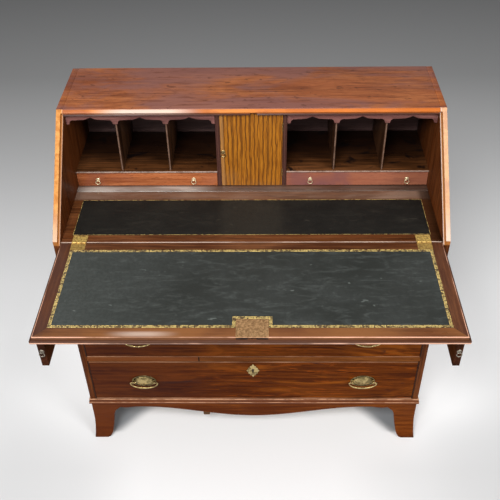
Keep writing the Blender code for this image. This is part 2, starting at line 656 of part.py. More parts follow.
def loper(side, sign):
    middle = sign * LOPER_CENTRE_X
    slide = pivot(f"loper_{side}_slide", (middle, LOPER_FRONT_Y, LOPER_FLOOR_Z))
    arm = board("loper_" + side, (middle - LOPER_THICKNESS / 2, LOPER_FRONT_Y, LOPER_FLOOR_Z + GAP),
                (middle + LOPER_THICKNESS / 2, LOPER_FRONT_Y + LOPER_LENGTH, LOPER_TOP_Z), MAHOGANY, slide)
    ring_pull("loper_ring_" + side, arm, (middle, LOPER_FRONT_Y, LOPER_PULL_Z), slide)


loper("left", -1)
loper("right", 1)

# Nest: its front plane stands clear of the closed fall
NEST_CLEARANCE = 0.002
NEST_BASE_THICKNESS = 0.0022
NEST_BASE_PROJECTION = 0.025
NEST_BASE_ROUND_STEPS = 4
LETTER_HEIGHT_SHARE = 0.205
NEST_BOARD_THICKNESS = 0.005
CUPBOARD_HALF = 0.1715 * IN_X
CUPBOARD_WALL_THICKNESS = 0.011
PIGEONHOLES_A_SIDE = 3
NEST_FRONT_Y = HINGE_Y + (CEILING_Z - DESK_HEIGHT) * cos(SLOPE) / sin(SLOPE) + NEST_CLEARANCE
NEST_BASE_Z = DESK_HEIGHT + NEST_BASE_THICKNESS
WALL_OUT = CUPBOARD_HALF + CUPBOARD_WALL_THICKNESS
NEST_IN = WALL_OUT + GAP
DIVIDER_PITCH = (IN_X - WALL_OUT + NEST_BOARD_THICKNESS) / PIGEONHOLES_A_SIDE
NEST_FLOOR_Z = NEST_BASE_Z + LETTER_HEIGHT_SHARE * (CEILING_Z - NEST_BASE_Z)
FLOOR_UNDERSIDE_Z = NEST_FLOOR_Z - NEST_BOARD_THICKNESS

# A thin base that the nest stands on, its front edge rounded over
base_round = NEST_BASE_THICKNESS - GAP
nest_base_outline = [(INNER_BACK_Y, DESK_HEIGHT + GAP), (INNER_BACK_Y, NEST_BASE_Z)]
for step in range(NEST_BASE_ROUND_STEPS + 1):
    angle = pi / 2 * (1 + step / NEST_BASE_ROUND_STEPS)
    nest_base_outline.append((NEST_FRONT_Y - NEST_BASE_PROJECTION + base_round * (1 + cos(angle)),
                              DESK_HEIGHT + GAP + base_round * sin(angle)))
slab("nest_base", nest_base_outline, 2 * BOARD_HALF, FACING_SIDE, (0, 0, 0), MAHOGANY)

# Valances: legs in front of the boards and an ogee rise to a point over each pigeonhole
VALANCE_THICKNESS = 0.006
VALANCE_HEIGHT = 0.031
VALANCE_LEAST_HEIGHT = 0.011
VALANCE_LEG_Z = CEILING_Z - VALANCE_HEIGHT
VALANCE_POINT_Z = CEILING_Z - VALANCE_LEAST_HEIGHT
VALANCE_WALL_LEG = 0.008
VALANCE_LEG_HALF = 0.006
VALANCE_ACROSS_SHARES = (0, 0.04, 0.12, 0.40, 0.70, 0.86, 1)
VALANCE_RISE_SHARES = (0, 0.40, 0.58, 0.60, 0.66, 0.80, 1)


def divider_x(index):
    """The middle of the board at the outer side of pigeonhole index, counted from the cupboard."""
    return WALL_OUT - NEST_BOARD_THICKNESS / 2 + DIVIDER_PITCH * index


def valance_outline():
    outline = [(NEST_IN, CEILING_Z - GAP), (NEST_IN, VALANCE_LEG_Z)]
    for index in range(PIGEONHOLES_A_SIDE):
        start = divider_x(index) + VALANCE_LEG_HALF if index else WALL_OUT + VALANCE_WALL_LEG
        last = index == PIGEONHOLES_A_SIDE - 1
        end = IN_X - VALANCE_WALL_LEG if last else divider_x(index + 1) - VALANCE_LEG_HALF
        half = (end - start) / 2
        rise = [(half * across, VALANCE_LEG_Z + (VALANCE_POINT_Z - VALANCE_LEG_Z) * up)
                for across, up in zip(VALANCE_ACROSS_SHARES, VALANCE_RISE_SHARES)]
        outline += [(start + across, height) for across, height in rise]
        outline += [(end - across, height) for across, height in reversed(rise[:-1])]
    return outline + [(BOARD_HALF, VALANCE_LEG_Z), (BOARD_HALF, CEILING_Z - GAP)]


# Letter drawers under the pigeonholes
LETTER_BACK_ROOM = 0.012
LETTER_DRAWER_LENGTH = INNER_BACK_Y - NEST_FRONT_Y - LETTER_BACK_ROOM
LETTER_FRONT_THICKNESS = 0.009
LETTER_SIDE_THICKNESS = 0.005
LETTER_FLOOR_THICKNESS = 0.003
LETTER_PULL_SHARES = (0.170, 0.852)
LETTER_PULL_X = [WALL_OUT + share * (IN_X - WALL_OUT) for share in LETTER_PULL_SHARES]
LETTER_PULL_Z = (NEST_BASE_Z + FLOOR_UNDERSIDE_Z) / 2


def drawer_tub(drawer, low, high, walls, drop, slide):
    """Joins a tub behind a drawer's front and hollows it; low and high are its outer corners."""
    side, back, floor, front = walls
    join(drawer, box_tool(drawer.name + "_tub", low, (high[0], high[1], high[2] - drop), slide))
    cut(drawer, box_tool(drawer.name + "_inside", (low[0] + side, low[1] + front, low[2] + floor),
                         (high[0] - side, high[1] - back, high[2] + OVERRUN), slide))


def nest_half(side, sign):
    def mirrored(low, high):
        """World corners of a box that is given for the right-hand half."""
        ends = sorted((sign * low[0], sign * high[0]))
        return (ends[0], *low[1:]), (ends[1], *high[1:])

    low, high = mirrored((CUPBOARD_HALF, NEST_FRONT_Y, NEST_BASE_Z + GAP), (WALL_OUT, INNER_BACK_Y, CEILING_Z - GAP))
    board("cupboard_wall_" + side, low, high, MAHOGANY)
    low, high = mirrored((NEST_IN, NEST_FRONT_Y, FLOOR_UNDERSIDE_Z), (BOARD_HALF, INNER_BACK_Y, NEST_FLOOR_Z))
    board("nest_floor_" + side, low, high, MAHOGANY)
    divider_front_y = NEST_FRONT_Y + VALANCE_THICKNESS + GAP
    for index, place in ((1, "inner"), (2, "outer")):
        near, far = divider_x(index) - NEST_BOARD_THICKNESS / 2, divider_x(index) + NEST_BOARD_THICKNESS / 2
        low, high = mirrored((near, divider_front_y, NEST_FLOOR_Z + GAP), (far, INNER_BACK_Y, CEILING_Z - GAP))
        board(f"divider_{place}_{side}", low, high, DARK_MAHOGANY)
    outline = [(sign * across, height) for across, height in valance_outline()]
    valance_place = (0, NEST_FRONT_Y + VALANCE_THICKNESS / 2, 0)
    slab("valance_" + side, outline, VALANCE_THICKNESS, FACING_FRONT, valance_place, MAHOGANY)

    near, far = WALL_OUT + RUNNING, IN_X - RUNNING
    top_z = FLOOR_UNDERSIDE_Z - RUNNING
    slide = pivot(f"letter_drawer_{side}_slide", (sign * (near + far) / 2, NEST_FRONT_Y, NEST_BASE_Z))
    low, high = mirrored((near, NEST_FRONT_Y, NEST_BASE_Z + 2 * GAP),
                         (far, NEST_FRONT_Y + LETTER_FRONT_THICKNESS, top_z))
    drawer = board("letter_drawer_" + side, low, high, DARK_MAHOGANY, slide)
    low, high = mirrored((near + GAP, NEST_FRONT_Y + GAP, NEST_BASE_Z + GAP),
                         (far - GAP, NEST_FRONT_Y + LETTER_DRAWER_LENGTH, top_z))
    walls = (LETTER_SIDE_THICKNESS, LETTER_SIDE_THICKNESS, LETTER_FLOOR_THICKNESS, LETTER_FRONT_THICKNESS)
    drawer_tub(drawer, low, high, walls, LETTER_FLOOR_THICKNESS, slide)
    for place, across in zip(("inner", "outer"), LETTER_PULL_X):
        ring_pull(f"letter_ring_{place}_{side}", drawer, (sign * across, NEST_FRONT_Y, LETTER_PULL_Z), slide)


nest_half("left", -1)
nest_half("right", 1)

# Cupboard door, hung at its right on an axis in the gap at the face
DOOR_GAP = 0.0006
DOOR_THICKNESS = 0.012
DOOR_PULL_FROM_EDGE = 0.007
DOOR_PULL_X = DOOR_PULL_FROM_EDGE - CUPBOARD_HALF
DOOR_PULL_Z = NEST_BASE_Z + 0.48 * (CEILING_Z - NEST_BASE_Z)
door_axis = pivot("cupboard_door_axis", (CUPBOARD_HALF, NEST_FRONT_Y, NEST_BASE_Z))
cupboard_door = board("cupboard_door", (-CUPBOARD_HALF + DOOR_GAP, NEST_FRONT_Y, NEST_BASE_Z + DOOR_GAP),
                      (CUPBOARD_HALF - DOOR_GAP, NEST_FRONT_Y + DOOR_THICKNESS, CEILING_Z - DOOR_GAP),
                      STRIPED_WOOD, door_axis)
ring_pull("door_ring", cupboard_door, (DOOR_PULL_X, NEST_FRONT_Y, DOOR_PULL_Z), door_axis)

# Swan-neck handles: an oval plate with two posts joined to the drawer front, and a bail in the posts
HANDLE_X = 0.674 * IN_X
HANDLE_RISES = (-0.002, 0.0025, 0, 0)
PLATE_HALF_WIDTH = 0.035
PLATE_HALF_HEIGHT = 0.0230
PLATE_THICKNESS = 0.0016
PLATE_STEPS = 24
POST_X = 0.0302
POST_RADIUS = 0.004
POST_LENGTH = 0.011
POST_HOLE_REACH = 0.0075
POST_HOLE_RADIUS = 0.0023
BAIL_RADIUS = 0.0017
BAIL_SWELL_SHARE = 1.3
BAIL_HALF_WIDTH = 0.0395
BAIL_DROP = 0.0235
BAIL_STEPS = 14


def bail_curve(name):
    """A half ellipse of wire with its ends turned in, thickest at the bottom."""
    inner_end = POST_X - POST_RADIUS - BAIL_RADIUS
    points = [(-inner_end, 0), (-BAIL_HALF_WIDTH + BAIL_RADIUS, 0)]
    for step in range(1, BAIL_STEPS):
        angle = pi * step / BAIL_STEPS
        points.append((-BAIL_HALF_WIDTH * cos(angle), -BAIL_DROP * sin(angle)))
    points += [(BAIL_HALF_WIDTH - BAIL_RADIUS, 0), (inner_end, 0)]
    curve = bpy.data.curves.new(name, "CURVE")
    curve.dimensions = "3D"
    curve.bevel_depth = BAIL_RADIUS
    curve.bevel_resolution = 2
    curve.use_fill_caps = True
    spline = curve.splines.new("POLY")
    spline.points.add(len(points) - 1)
    for point, (across, height) in zip(spline.points, points):
        point.co = (across, 0, height, 1)
        point.radius = interp(-height, (0, BAIL_DROP), (1, BAIL_SWELL_SHARE))
    return curve


def handle(name, drawer, across, height, slide):
    plate_outline = [(PLATE_HALF_WIDTH * cos(2 * pi * step / PLATE_STEPS),
                      PLATE_HALF_HEIGHT * sin(2 * pi * step / PLATE_STEPS)) for step in range(PLATE_STEPS)]
    plate_mesh = slab_mesh(name + "_plate", plate_outline, 2 * PLATE_THICKNESS, FACING_FRONT)
    plate = tool(name + "_plate", plate_mesh, (across, FRONT_Y, height), slide)
    for end, sign in (("near", -1), ("far", 1)):
        post_mesh = rod_mesh(f"{name}_post_{end}", POST_RADIUS, POST_LENGTH, ALONG_Y, 12)
        place = (across + sign * POST_X, FRONT_Y - POST_LENGTH / 2, height)
        join(plate, tool(f"{name}_post_{end}", post_mesh, place, slide))
    axis_place = (across, FRONT_Y - POST_HOLE_REACH, height)
    hole_mesh = rod_mesh(name + "_hole", POST_HOLE_RADIUS, 2 * (POST_X + 2 * POST_RADIUS), ALONG_X, 12)
    cut(plate, tool(name + "_hole", hole_mesh, axis_place, slide))
    join(drawer, plate)

    bail_name = name + "_bail"
    axis = pivot(name + "_axis", axis_place, slide)
    smooth(put(bail_name, curve_mesh(bail_name, bail_curve(bail_name), FLAT), axis_place, BRASS, axis))


# Long drawers: the front fills its opening, with a cockbead round it, and the tub runs behind. The
# top one's front is a piece of its own, fixed to the ends of its tub
def long_drawer(name, opening_low, opening_high, half, handle_rise, front_apart=False):
    low, high = opening_low + GAP, opening_high - RUNNING
    slide = pivot(name + "_slide", (0, FRONT_Y, low))
    front = board(name + "_front" if front_apart else name, (-half, FRONT_Y - BEAD_PROUD, low + GAP),
                  (half, FRONT_Y + DRAWER_FRONT_THICKNESS, high), MAHOGANY, slide)
    if front_apart:
        side, tub_y = half - GAP, FRONT_Y + DRAWER_FRONT_THICKNESS + GAP
        tub = board(name, (-side, tub_y, low), (side, FRONT_Y + DRAWER_LENGTH, high - DRAWER_SIDE_DROP),
                    MAHOGANY, slide)
        cut(tub, box_tool(name + "_inside", (-side + DRAWER_SIDE_THICKNESS, tub_y - OVERRUN,
                                             low + DRAWER_FLOOR_THICKNESS),
                          (side - DRAWER_SIDE_THICKNESS, FRONT_Y + DRAWER_LENGTH - DRAWER_BACK_THICKNESS,
                           high + OVERRUN), slide))
    else:
        walls = (DRAWER_SIDE_THICKNESS, DRAWER_BACK_THICKNESS, DRAWER_FLOOR_THICKNESS, DRAWER_FRONT_THICKNESS)
        drawer_tub(front, (-half + GAP, FRONT_Y + GAP, low), (half - GAP, FRONT_Y + DRAWER_LENGTH, high),
                   walls, DRAWER_SIDE_DROP, slide)
    cut(front, box_tool(name + "_face", (-half + BEAD_WIDTH, FRONT_Y - OVERRUN, low + GAP + BEAD_WIDTH),
                        (half - BEAD_WIDTH, FRONT_Y, high - BEAD_WIDTH), slide))
    level = (low + GAP + high) / 2 + handle_rise
    handle(name + "_left", front, -HANDLE_X, level, slide)
    handle(name + "_right", front, HANDLE_X, level, slide)


DRAWER_NAMES = ("drawer_bottom", "drawer_lower", "drawer_upper", "drawer_top")
for name, floor, opening, handle_rise in zip(DRAWER_NAMES, drawer_floors, DRAWER_OPENINGS, HANDLE_RISES):
    long_drawer(name, floor, floor + opening, IN_X - RUNNING, handle_rise)
long_drawer(DRAWER_NAMES[-1], LOPER_FLOOR_Z, DESK_HEIGHT - FALL_THICKNESS, GUIDE_IN - RUNNING, HANDLE_RISES[-1],
            front_apart=True)
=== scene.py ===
import json
from math import asin, atan2, cos, hypot, pi, radians, sin

import bmesh
import bpy
from mathutils import Matrix, Vector


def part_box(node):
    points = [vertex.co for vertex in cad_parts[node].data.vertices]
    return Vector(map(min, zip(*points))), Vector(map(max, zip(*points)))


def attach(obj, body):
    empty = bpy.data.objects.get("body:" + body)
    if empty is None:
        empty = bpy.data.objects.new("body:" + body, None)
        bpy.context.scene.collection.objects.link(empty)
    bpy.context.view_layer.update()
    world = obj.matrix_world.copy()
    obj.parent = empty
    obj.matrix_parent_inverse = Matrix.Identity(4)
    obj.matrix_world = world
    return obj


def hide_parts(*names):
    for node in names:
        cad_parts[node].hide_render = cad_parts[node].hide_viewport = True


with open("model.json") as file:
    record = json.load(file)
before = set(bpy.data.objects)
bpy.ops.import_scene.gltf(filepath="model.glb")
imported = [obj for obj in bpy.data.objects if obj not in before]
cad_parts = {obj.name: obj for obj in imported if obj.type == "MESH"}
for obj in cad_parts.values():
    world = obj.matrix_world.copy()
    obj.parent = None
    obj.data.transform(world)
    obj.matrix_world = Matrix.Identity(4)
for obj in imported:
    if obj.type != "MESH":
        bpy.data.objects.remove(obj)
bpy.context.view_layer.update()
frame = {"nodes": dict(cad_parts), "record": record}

scene = bpy.context.scene
scene.view_settings.view_transform = "Standard"

# Camera
# The view is from in front and above, as a standing person sees the open desk, turned a little to
# the left and rolled by less than a degree.
LENS_MM = 53.627
SHIFT_ACROSS = -0.0039
CAMERA_PLACE = Vector((0.0316, -1.4576, 1.9287))
PITCH, YAW, ROLL = radians(40.507), radians(-1.206), radians(-0.910)
ahead = Vector((sin(YAW) * cos(PITCH), cos(YAW) * cos(PITCH), -sin(PITCH)))
level = Vector((cos(YAW), -sin(YAW), 0))
rising = level.cross(ahead)
camera_right = level * cos(ROLL) + rising * sin(ROLL)
camera_up = rising * cos(ROLL) - level * sin(ROLL)
camera_data = bpy.data.cameras.new("camera")
camera_data.lens = LENS_MM
camera_data.shift_x = SHIFT_ACROSS
camera = bpy.data.objects.new("camera", camera_data)
camera.matrix_world = (Matrix.Translation(CAMERA_PLACE)
                       @ Matrix((camera_right, camera_up, -ahead)).transposed().to_4x4())
scene.collection.objects.link(camera)
scene.camera = camera


# Studio
# A pale floor, darker towards the back of the room, under soft boxes in front, above and at both
# sides, with a low even light from all round. Light is also painted into the floor: a painted pool of
# light round the base, painted shade at the right front, a painted glow beside the case given as
# emission, and painted shadows under the case inside the feet.
class Wire:
    """A socket of a finish, on which Python's sums add Math nodes."""

    def __init__(self, finish, socket):
        self.finish, self.socket = finish, socket

    def __add__(self, other):
        return self.finish.math("ADD", self, other)

    def __sub__(self, other):
        return self.finish.math("SUBTRACT", self, other)

    def __rsub__(self, other):
        return self.finish.math("SUBTRACT", other, self)

    def __mul__(self, other):
        return self.finish.math("MULTIPLY", self, other)

    def __truediv__(self, other):
        return self.finish.math("DIVIDE", self, other)

    def __abs__(self):
        return self.finish.math("ABSOLUTE", self)

    __radd__ = __add__
    __rmul__ = __mul__


class Finish:
    """A material whose varying sockets are worked out from Object coordinates."""

    def __init__(self, name, gloss=0.5, **constants):
        self.material = bpy.data.materials.new(name)
        self.material.use_nodes = True
        self.tree = self.material.node_tree
        self.shader = self.tree.nodes["Principled BSDF"]
        for socket, value in {"Specular IOR Level": gloss, **constants}.items():
            self.shader.inputs[socket].default_value = value
        self.place = self.node("ShaderNodeTexCoord", output="Object")
        self.x = self.node("ShaderNodeSeparateXYZ", inputs={"Vector": self.place})
        self.y, self.z = (Wire(self, self.x.socket.node.outputs[axis]) for axis in "YZ")

    def node(self, kind, settings=None, inputs=None, output=0):
        made = self.tree.nodes.new(kind)
        for name, value in (settings or {}).items():
            if name == "stops":
                ramp = made.color_ramp
                while len(ramp.elements) < len(value):
                    ramp.elements.new(1)
                for stop, (position, colour) in zip(ramp.elements, value):
                    stop.position = position
                    stop.color = (*colour, 1)
            else:
                setattr(made, name, value)
        for key, value in (inputs or {}).items():
            self.feed(made.inputs[key], value)
        return Wire(self, made.outputs[output])

    def feed(self, socket, value):
        if isinstance(value, Wire):
            self.tree.links.new(value.socket, socket)
        else:
            socket.default_value = value

    def math(self, operation, *values):
        return self.node("ShaderNodeMath", {"operation": operation}, dict(enumerate(values)))

    def stretched(self, scale, shift=(0, 0, 0)):
        """Object coordinates moved and scaled."""
        return self.node("ShaderNodeMapping", inputs={"Vector": self.place, "Location": shift,
                                                      "Scale": scale})

    def noise(self, scale, detail=2.0, roughness=0.5, distortion=0.0, place=None):
        sizes = {"Vector": place or self.place, "Scale": scale, "Detail": detail, "Roughness": roughness,
                 "Distortion": distortion}
        return self.node("ShaderNodeTexNoise", inputs=sizes)

    def band(self, value, low, high, start=0.0, end=1.0):
        """A smooth step from start to end as a value goes from low to high."""
        numbers = {0: value, 1: low, 2: high, 3: start, 4: end}
        return self.node("ShaderNodeMapRange", {"interpolation_type": "SMOOTHSTEP"}, numbers)

    def fade(self, value, low, high, start=1.0):
        """The same step, down to nothing."""
        return self.band(value, low, high, start, 0.0)

    def patches(self, scale, low, high, detail=3, roughness=0.6, distortion=0.3, stretch=None, start=0.0,
                end=1.0):
        """Noise sharpened to patches, which stretch draws out along an axis."""
        place = self.stretched(stretch) if stretch else self.place
        return self.band(self.noise(scale, detail, roughness, distortion, place), low, high, start, end)

    def blend(self, factor, below, above):
        """Lays one colour over another by a factor."""
        colours = {key: value if isinstance(value, Wire) else (*value, 1)
                   for key, value in ((6, below), (7, above))}
        return self.node("ShaderNodeMix", {"data_type": "RGBA"}, {0: factor, **colours}, 2)

    def dress(self, colour, roughness=None, height=None, depth=0.0002, **others):
        """Feeds the shader and returns the material."""
        fed = {"Base Color": colour, "Roughness": roughness, **others}
        if height is not None:
            fed["Normal"] = self.node("ShaderNodeBump", inputs={"Strength": 1.0, "Distance": depth,
                                                                "Height": height})
        for socket, value in fed.items():
            if value is not None:
                self.feed(self.shader.inputs[socket], value)
        return self.material


FLOOR_REACH = 9.0
FLOOR_SHADES = ((-0.6, 0.62), (-0.2, 0.68), (0.07, 0.80), (0.35, 0.92), (0.6, 0.90), (1.0, 0.78),
                (1.62, 0.55), (2.27, 0.36), (3.6, 0.25))
LIGHT_POOL_MIDDLE, LIGHT_POOL_REACH = Vector((0.05, -0.15, 0)), (0.38, 0.80)
RIGHT_SHADE_GREY, FEET_SHADOW_GREY = (0.42, 0.42, 0.42), (0.17, 0.19, 0.21)
floor_finish = Finish("studio_floor", Roughness=0.9, **{"Emission Strength": 1.0})
floor_x, floor_y, aside = floor_finish.x, floor_finish.y, abs(floor_finish.x)
shade_start, shade_span = FLOOR_SHADES[0][0], FLOOR_SHADES[-1][0] - FLOOR_SHADES[0][0]
stops = [((y - shade_start) / shade_span, (shade,) * 3) for y, shade in FLOOR_SHADES]
floor_colour = floor_finish.node("ShaderNodeValToRGB", {"stops": stops},
                                 {0: (floor_y - shade_start) / shade_span})
# A painted pool of light on the floor round the base, held back near the front corners.
away = floor_finish.node("ShaderNodeVectorMath", {"operation": "DISTANCE"},
                         {0: floor_finish.place, 1: LIGHT_POOL_MIDDLE}, "Value")
light_pool = floor_finish.fade(away, *LIGHT_POOL_REACH, 0.75)
narrowed = floor_finish.band(abs(floor_x + 0.04), 0.26, 0.50) * floor_finish.fade(floor_y, -0.22, -0.06, 0.55)
floor_colour = floor_finish.blend(light_pool - light_pool * narrowed, floor_colour, (1, 1, 1))
# Painted shade on the floor at the right front.
right_front_shade = floor_finish.band(floor_x, 0.38, 0.65, 0.0, 0.22) * floor_finish.fade(floor_y, -0.10, 0.10)
floor_colour = floor_finish.blend(right_front_shade, floor_colour, RIGHT_SHADE_GREY)
# A painted glow on the floor beside the case, given as emission, a little stronger at the right.
beside = floor_finish.band(aside, 0.46, 0.52) * floor_finish.fade(aside, 0.56, 0.86)
beside = beside * floor_finish.band(floor_y, -0.14, 0.12) * floor_finish.fade(floor_y, 0.40, 0.70)
painted_glow = floor_finish.blend(beside * floor_finish.band(floor_x, -0.1, 0.1, 0.20, 0.24), (0, 0, 0), (1, 1, 1))
# Painted shadows on the floor under the case inside the feet, bounded by a slant from each foot.
feet_shadow = floor_finish.band(aside, 0.20, 0.42, 0.0, 0.85) * floor_finish.fade(aside, 0.465, 0.475)
feet_shadow = feet_shadow * floor_finish.band(floor_y + aside, 0.325, 0.385)
feet_shadow = feet_shadow * floor_finish.band(floor_y, -0.075, -0.060) * floor_finish.fade(floor_y, 0.20, 0.34)
floor_finish.dress(floor_finish.blend(feet_shadow, floor_colour, FEET_SHADOW_GREY), **{"Emission Color": painted_glow})
floor_mesh = bpy.data.meshes.new("studio_floor")
floor_corners = [(sx * FLOOR_REACH, sy * FLOOR_REACH, 0) for sx, sy in ((-1, -1), (1, -1), (1, 1), (-1, 1))]
floor_mesh.from_pydata(floor_corners, [], [(0, 1, 2, 3)])
floor_mesh.materials.append(floor_finish.material)
studio_floor = bpy.data.objects.new("studio_floor", floor_mesh)
scene.collection.objects.link(studio_floor)


def soft_box(name, place, aim, size, watts):
    lamp = bpy.data.lights.new(name, "AREA")
    lamp.shape = "RECTANGLE"
    lamp.size, lamp.size_y = size
    lamp.energy = watts
    item = bpy.data.objects.new(name, lamp)
    item.location = place
    item.rotation_euler = (Vector(aim) - Vector(place)).to_track_quat("-Z", "Y").to_euler()
    scene.collection.objects.link(item)


soft_box("front_box", (-0.60, -2.3, 3.25), (-0.05, 0, 0.7), (0.9, 1.0), 86)
soft_box("left_box", (-2.0, -2.2, 2.4), (0, -0.2, 0.3), (1.2, 1.4), 29)
soft_box("over_box", (0.1, 0.0, 5.0), (0, 0, 0.6), (4.0, 3.4), 50)
soft_box("right_box", (2.0, -2.0, 2.5), (0, -0.2, 0.3), (1.2, 1.4), 52)
SURROUND_TINT, SURROUND_STRENGTH = (0.97, 0.98, 1.0, 1), 0.20
world = bpy.data.worlds.new("studio")
world.use_nodes = True
surround = world.node_tree.nodes["Background"]
surround.inputs["Color"].default_value = SURROUND_TINT
surround.inputs["Strength"].default_value = SURROUND_STRENGTH
scene.world = world


# Case sides
# Two solid mahogany boards with upright grain, their sloping front edges rebated for the lip of the
# fall. Those edges are golden: partly wood faded by bleaching and rubbing, partly painted highlight,
# whiter low down and at the right, with a painted white highlight line along the inner arris.
BODY_OF = {node: body for body, nodes in frame["record"]["behaviour"]["bodies"].items() for node in nodes}
desk_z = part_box("fall_board")[1].z
hinge_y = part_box("desk_board")[0].y
side_low, side_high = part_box("side_right")
in_x, out_x, front_y, back_y, over_z = side_low.x, side_high.x, side_low.y, side_high.y, side_high.z
TOP_DEPTH = 0.217
FALL_THICKNESS = 0.015
slope_run, slope_rise = back_y - TOP_DEPTH - hinge_y, over_z - desk_z
SLOPE = atan2(slope_rise, slope_run) - asin(FALL_THICKNESS / hypot(slope_run, slope_rise))
WAX_GLOSS = 0.03
PORE_DEPTH = 0.00012


def grain(finish, along, tones, coarse=1.0):
    """Polished wood: broad ribbons, streaks and open pores, as colour, roughness and height."""
    def drawn(share):
        return finish.stretched([share if axis == along else 1 for axis in "XYZ"])

    dark, middle, light = tones
    ribbon = finish.noise(26 * coarse, 3, 0.55, 0.6, drawn(0.10))
    streak = finish.noise(150 * coarse, 4, 0.65, 0.25, drawn(0.035))
    patch = finish.noise(7 * coarse, 3, 0.6, 0.4, drawn(0.35))
    pore = finish.noise(1150, 1, 0.5, 0, drawn(0.05))
    colour = finish.blend(finish.band(ribbon, 0.33, 0.66), dark, middle)
    colour = finish.blend(finish.band(streak * 0.6 + patch * 0.4, 0.42, 0.68), colour, light)
    dips = finish.band(pore, 0.60, 0.70)
    colour = finish.blend(dips * 0.55, colour, [value * 0.35 for value in dark])
    roughness = 0.27 + 0.20 * finish.band(patch, 0.35, 0.7) + 0.12 * dips
    height = streak * 0.25 - dips * 0.5
    return colour, roughness, height


def wood(name, along, tones, coarse=1.0):
    finish = Finish(name, WAX_GLOSS)
    return finish.dress(*grain(finish, along, tones, coarse), PORE_DEPTH)


def piece(name, mesh, made_of, body, record_slot, *nodes):
    """Puts a mesh in the scene on its body; it may stand for CAD nodes."""
    mesh.name = name
    item = bpy.data.objects.new(name, mesh)
    scene.collection.objects.link(item)
    mesh.materials.clear()
    mesh.materials.append(made_of)
    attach(item, body)
    if nodes:
        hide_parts(*nodes)
    return item


def ease(item, width, steps=2, angle=30):
    """Rubs the arrises of a piece down to a small round."""
    item.data.shade_smooth()
    edge = item.modifiers.new("eased_arrises", "BEVEL")
    edge.width = width
    edge.segments = steps
    edge.limit_method = "ANGLE"
    edge.angle_limit = radians(angle)
    edge.harden_normals = True
    return item


def meshed(bm, outwards=False):
    """Ends a bmesh as a mesh, with its faces turned outwards where they may not be."""
    if outwards:
        bmesh.ops.recalc_face_normals(bm, faces=bm.faces)
    mesh = bpy.data.meshes.new("mesh")
    bm.to_mesh(mesh)
    bm.free()
    return mesh


def eased(node, name, width, made_of, record_slot="mahogany", steps=2):
    """A welded copy of a CAD solid with its arrises eased, which stands for it."""
    bm = bmesh.new()
    bm.from_mesh(frame["nodes"][node].data)
    bmesh.ops.remove_doubles(bm, verts=bm.verts, dist=0.00002)
    bmesh.ops.dissolve_limit(bm, angle_limit=radians(0.5), verts=bm.verts, edges=bm.edges)
    return ease(piece(name, meshed(bm), made_of, BODY_OF[node], record_slot, node), width, steps)


SIDE_TONES = ((0.050, 0.012, 0.003), (0.110, 0.028, 0.007), (0.180, 0.056, 0.016))
BLEACHED_AND_LIT, BLEACHED_AND_LIT_DARK, PAINTED_HIGHLIGHT_WHITE = (0.74, 0.34, 0.10), (0.50, 0.19, 0.045), (0.74, 0.58, 0.48)
FADED_PURPLE, STREAK_BROWN, KNOCK_BROWN = (0.205, 0.092, 0.080), (0.110, 0.030, 0.014), (0.075, 0.024, 0.014)
TOP_TONES = ((0.190, 0.050, 0.018), (0.330, 0.096, 0.032), (0.440, 0.155, 0.055))


def faded_wood(finish):
    """The upper faces: level grain, faded unevenly to purple-brown, with small dark knocks."""
    colour, roughness, height = grain(finish, "X", TOP_TONES, 1.6)
    faded = finish.noise(5.5, 4, 0.6, 0.6, finish.stretched((0.55, 1.5, 1)))
    colour = finish.blend(finish.band(faded, 0.41, 0.58) * 0.75, colour, FADED_PURPLE)
    knocks = finish.patches(85, 0.61, 0.69, stretch=(0.5, 1, 1))
    streaks = finish.patches(130, 0.52, 0.68, roughness=0.65, distortion=0.5, stretch=(0.10, 1, 1))
    colour = finish.blend(streaks * 0.55, colour, STREAK_BROWN)
    return finish.blend(knocks * 0.6, colour, KNOCK_BROWN), roughness + 0.05, height


side_finish = Finish("side_mahogany", WAX_GLOSS)
side_colour, side_roughness, side_height = grain(side_finish, "Z", SIDE_TONES)
off_slope = (side_finish.z - desk_z) * cos(SLOPE) - (side_finish.y - hinge_y) * sin(SLOPE)
from_inside = abs(side_finish.x) - in_x
above_desk = side_finish.band(side_finish.z, desk_z - 0.010, desk_z + 0.004)
on_edge = side_finish.band(off_slope, FALL_THICKNESS - 0.0012, FALL_THICKNESS - 0.0004) * above_desk
on_step = side_finish.band(off_slope, 0.0045, 0.0060) * above_desk
low_down = side_finish.fade(side_finish.z, desk_z, desk_z + 0.08)
# Painted highlight on the sloping edges: the golden tone is partly faded wood and partly highlight, whiter
# low down and at the right, with a white highlight line on the inner arris.
mottle = side_finish.noise(45, 4, 0.6, 0.3)
bleach_and_highlight = side_finish.blend(side_finish.band(mottle, 0.38, 0.62), BLEACHED_AND_LIT_DARK, BLEACHED_AND_LIT)
highlight_whitened = low_down * 0.60 + side_finish.band(side_finish.x, 0.0, 0.1, 0.0, 0.35)
bleach_and_highlight = side_finish.blend(highlight_whitened, bleach_and_highlight, PAINTED_HIGHLIGHT_WHITE)
white_highlight_line = side_finish.fade(from_inside, 0.0012, 0.0026) * on_step
side_colour = side_finish.blend(on_step * 0.7, side_colour, BLEACHED_AND_LIT_DARK)
side_colour = side_finish.blend(on_edge * 0.9, side_colour, bleach_and_highlight)
side_colour = side_finish.blend(white_highlight_line * side_finish.band(side_finish.x, 0.0, 0.1, 0.30, 0.8),
                                side_colour, PAINTED_HIGHLIGHT_WHITE)
on_top = side_finish.band(side_finish.z, over_z - 0.0012, over_z - 0.0004)
side_colour = side_finish.blend(on_top, side_colour, faded_wood(side_finish)[0])
side_finish.dress(side_colour, side_roughness, side_height, PORE_DEPTH)
for side in ("side_left", "side_right"):
    eased(side, side + "_board", 0.0009, side_finish.material)

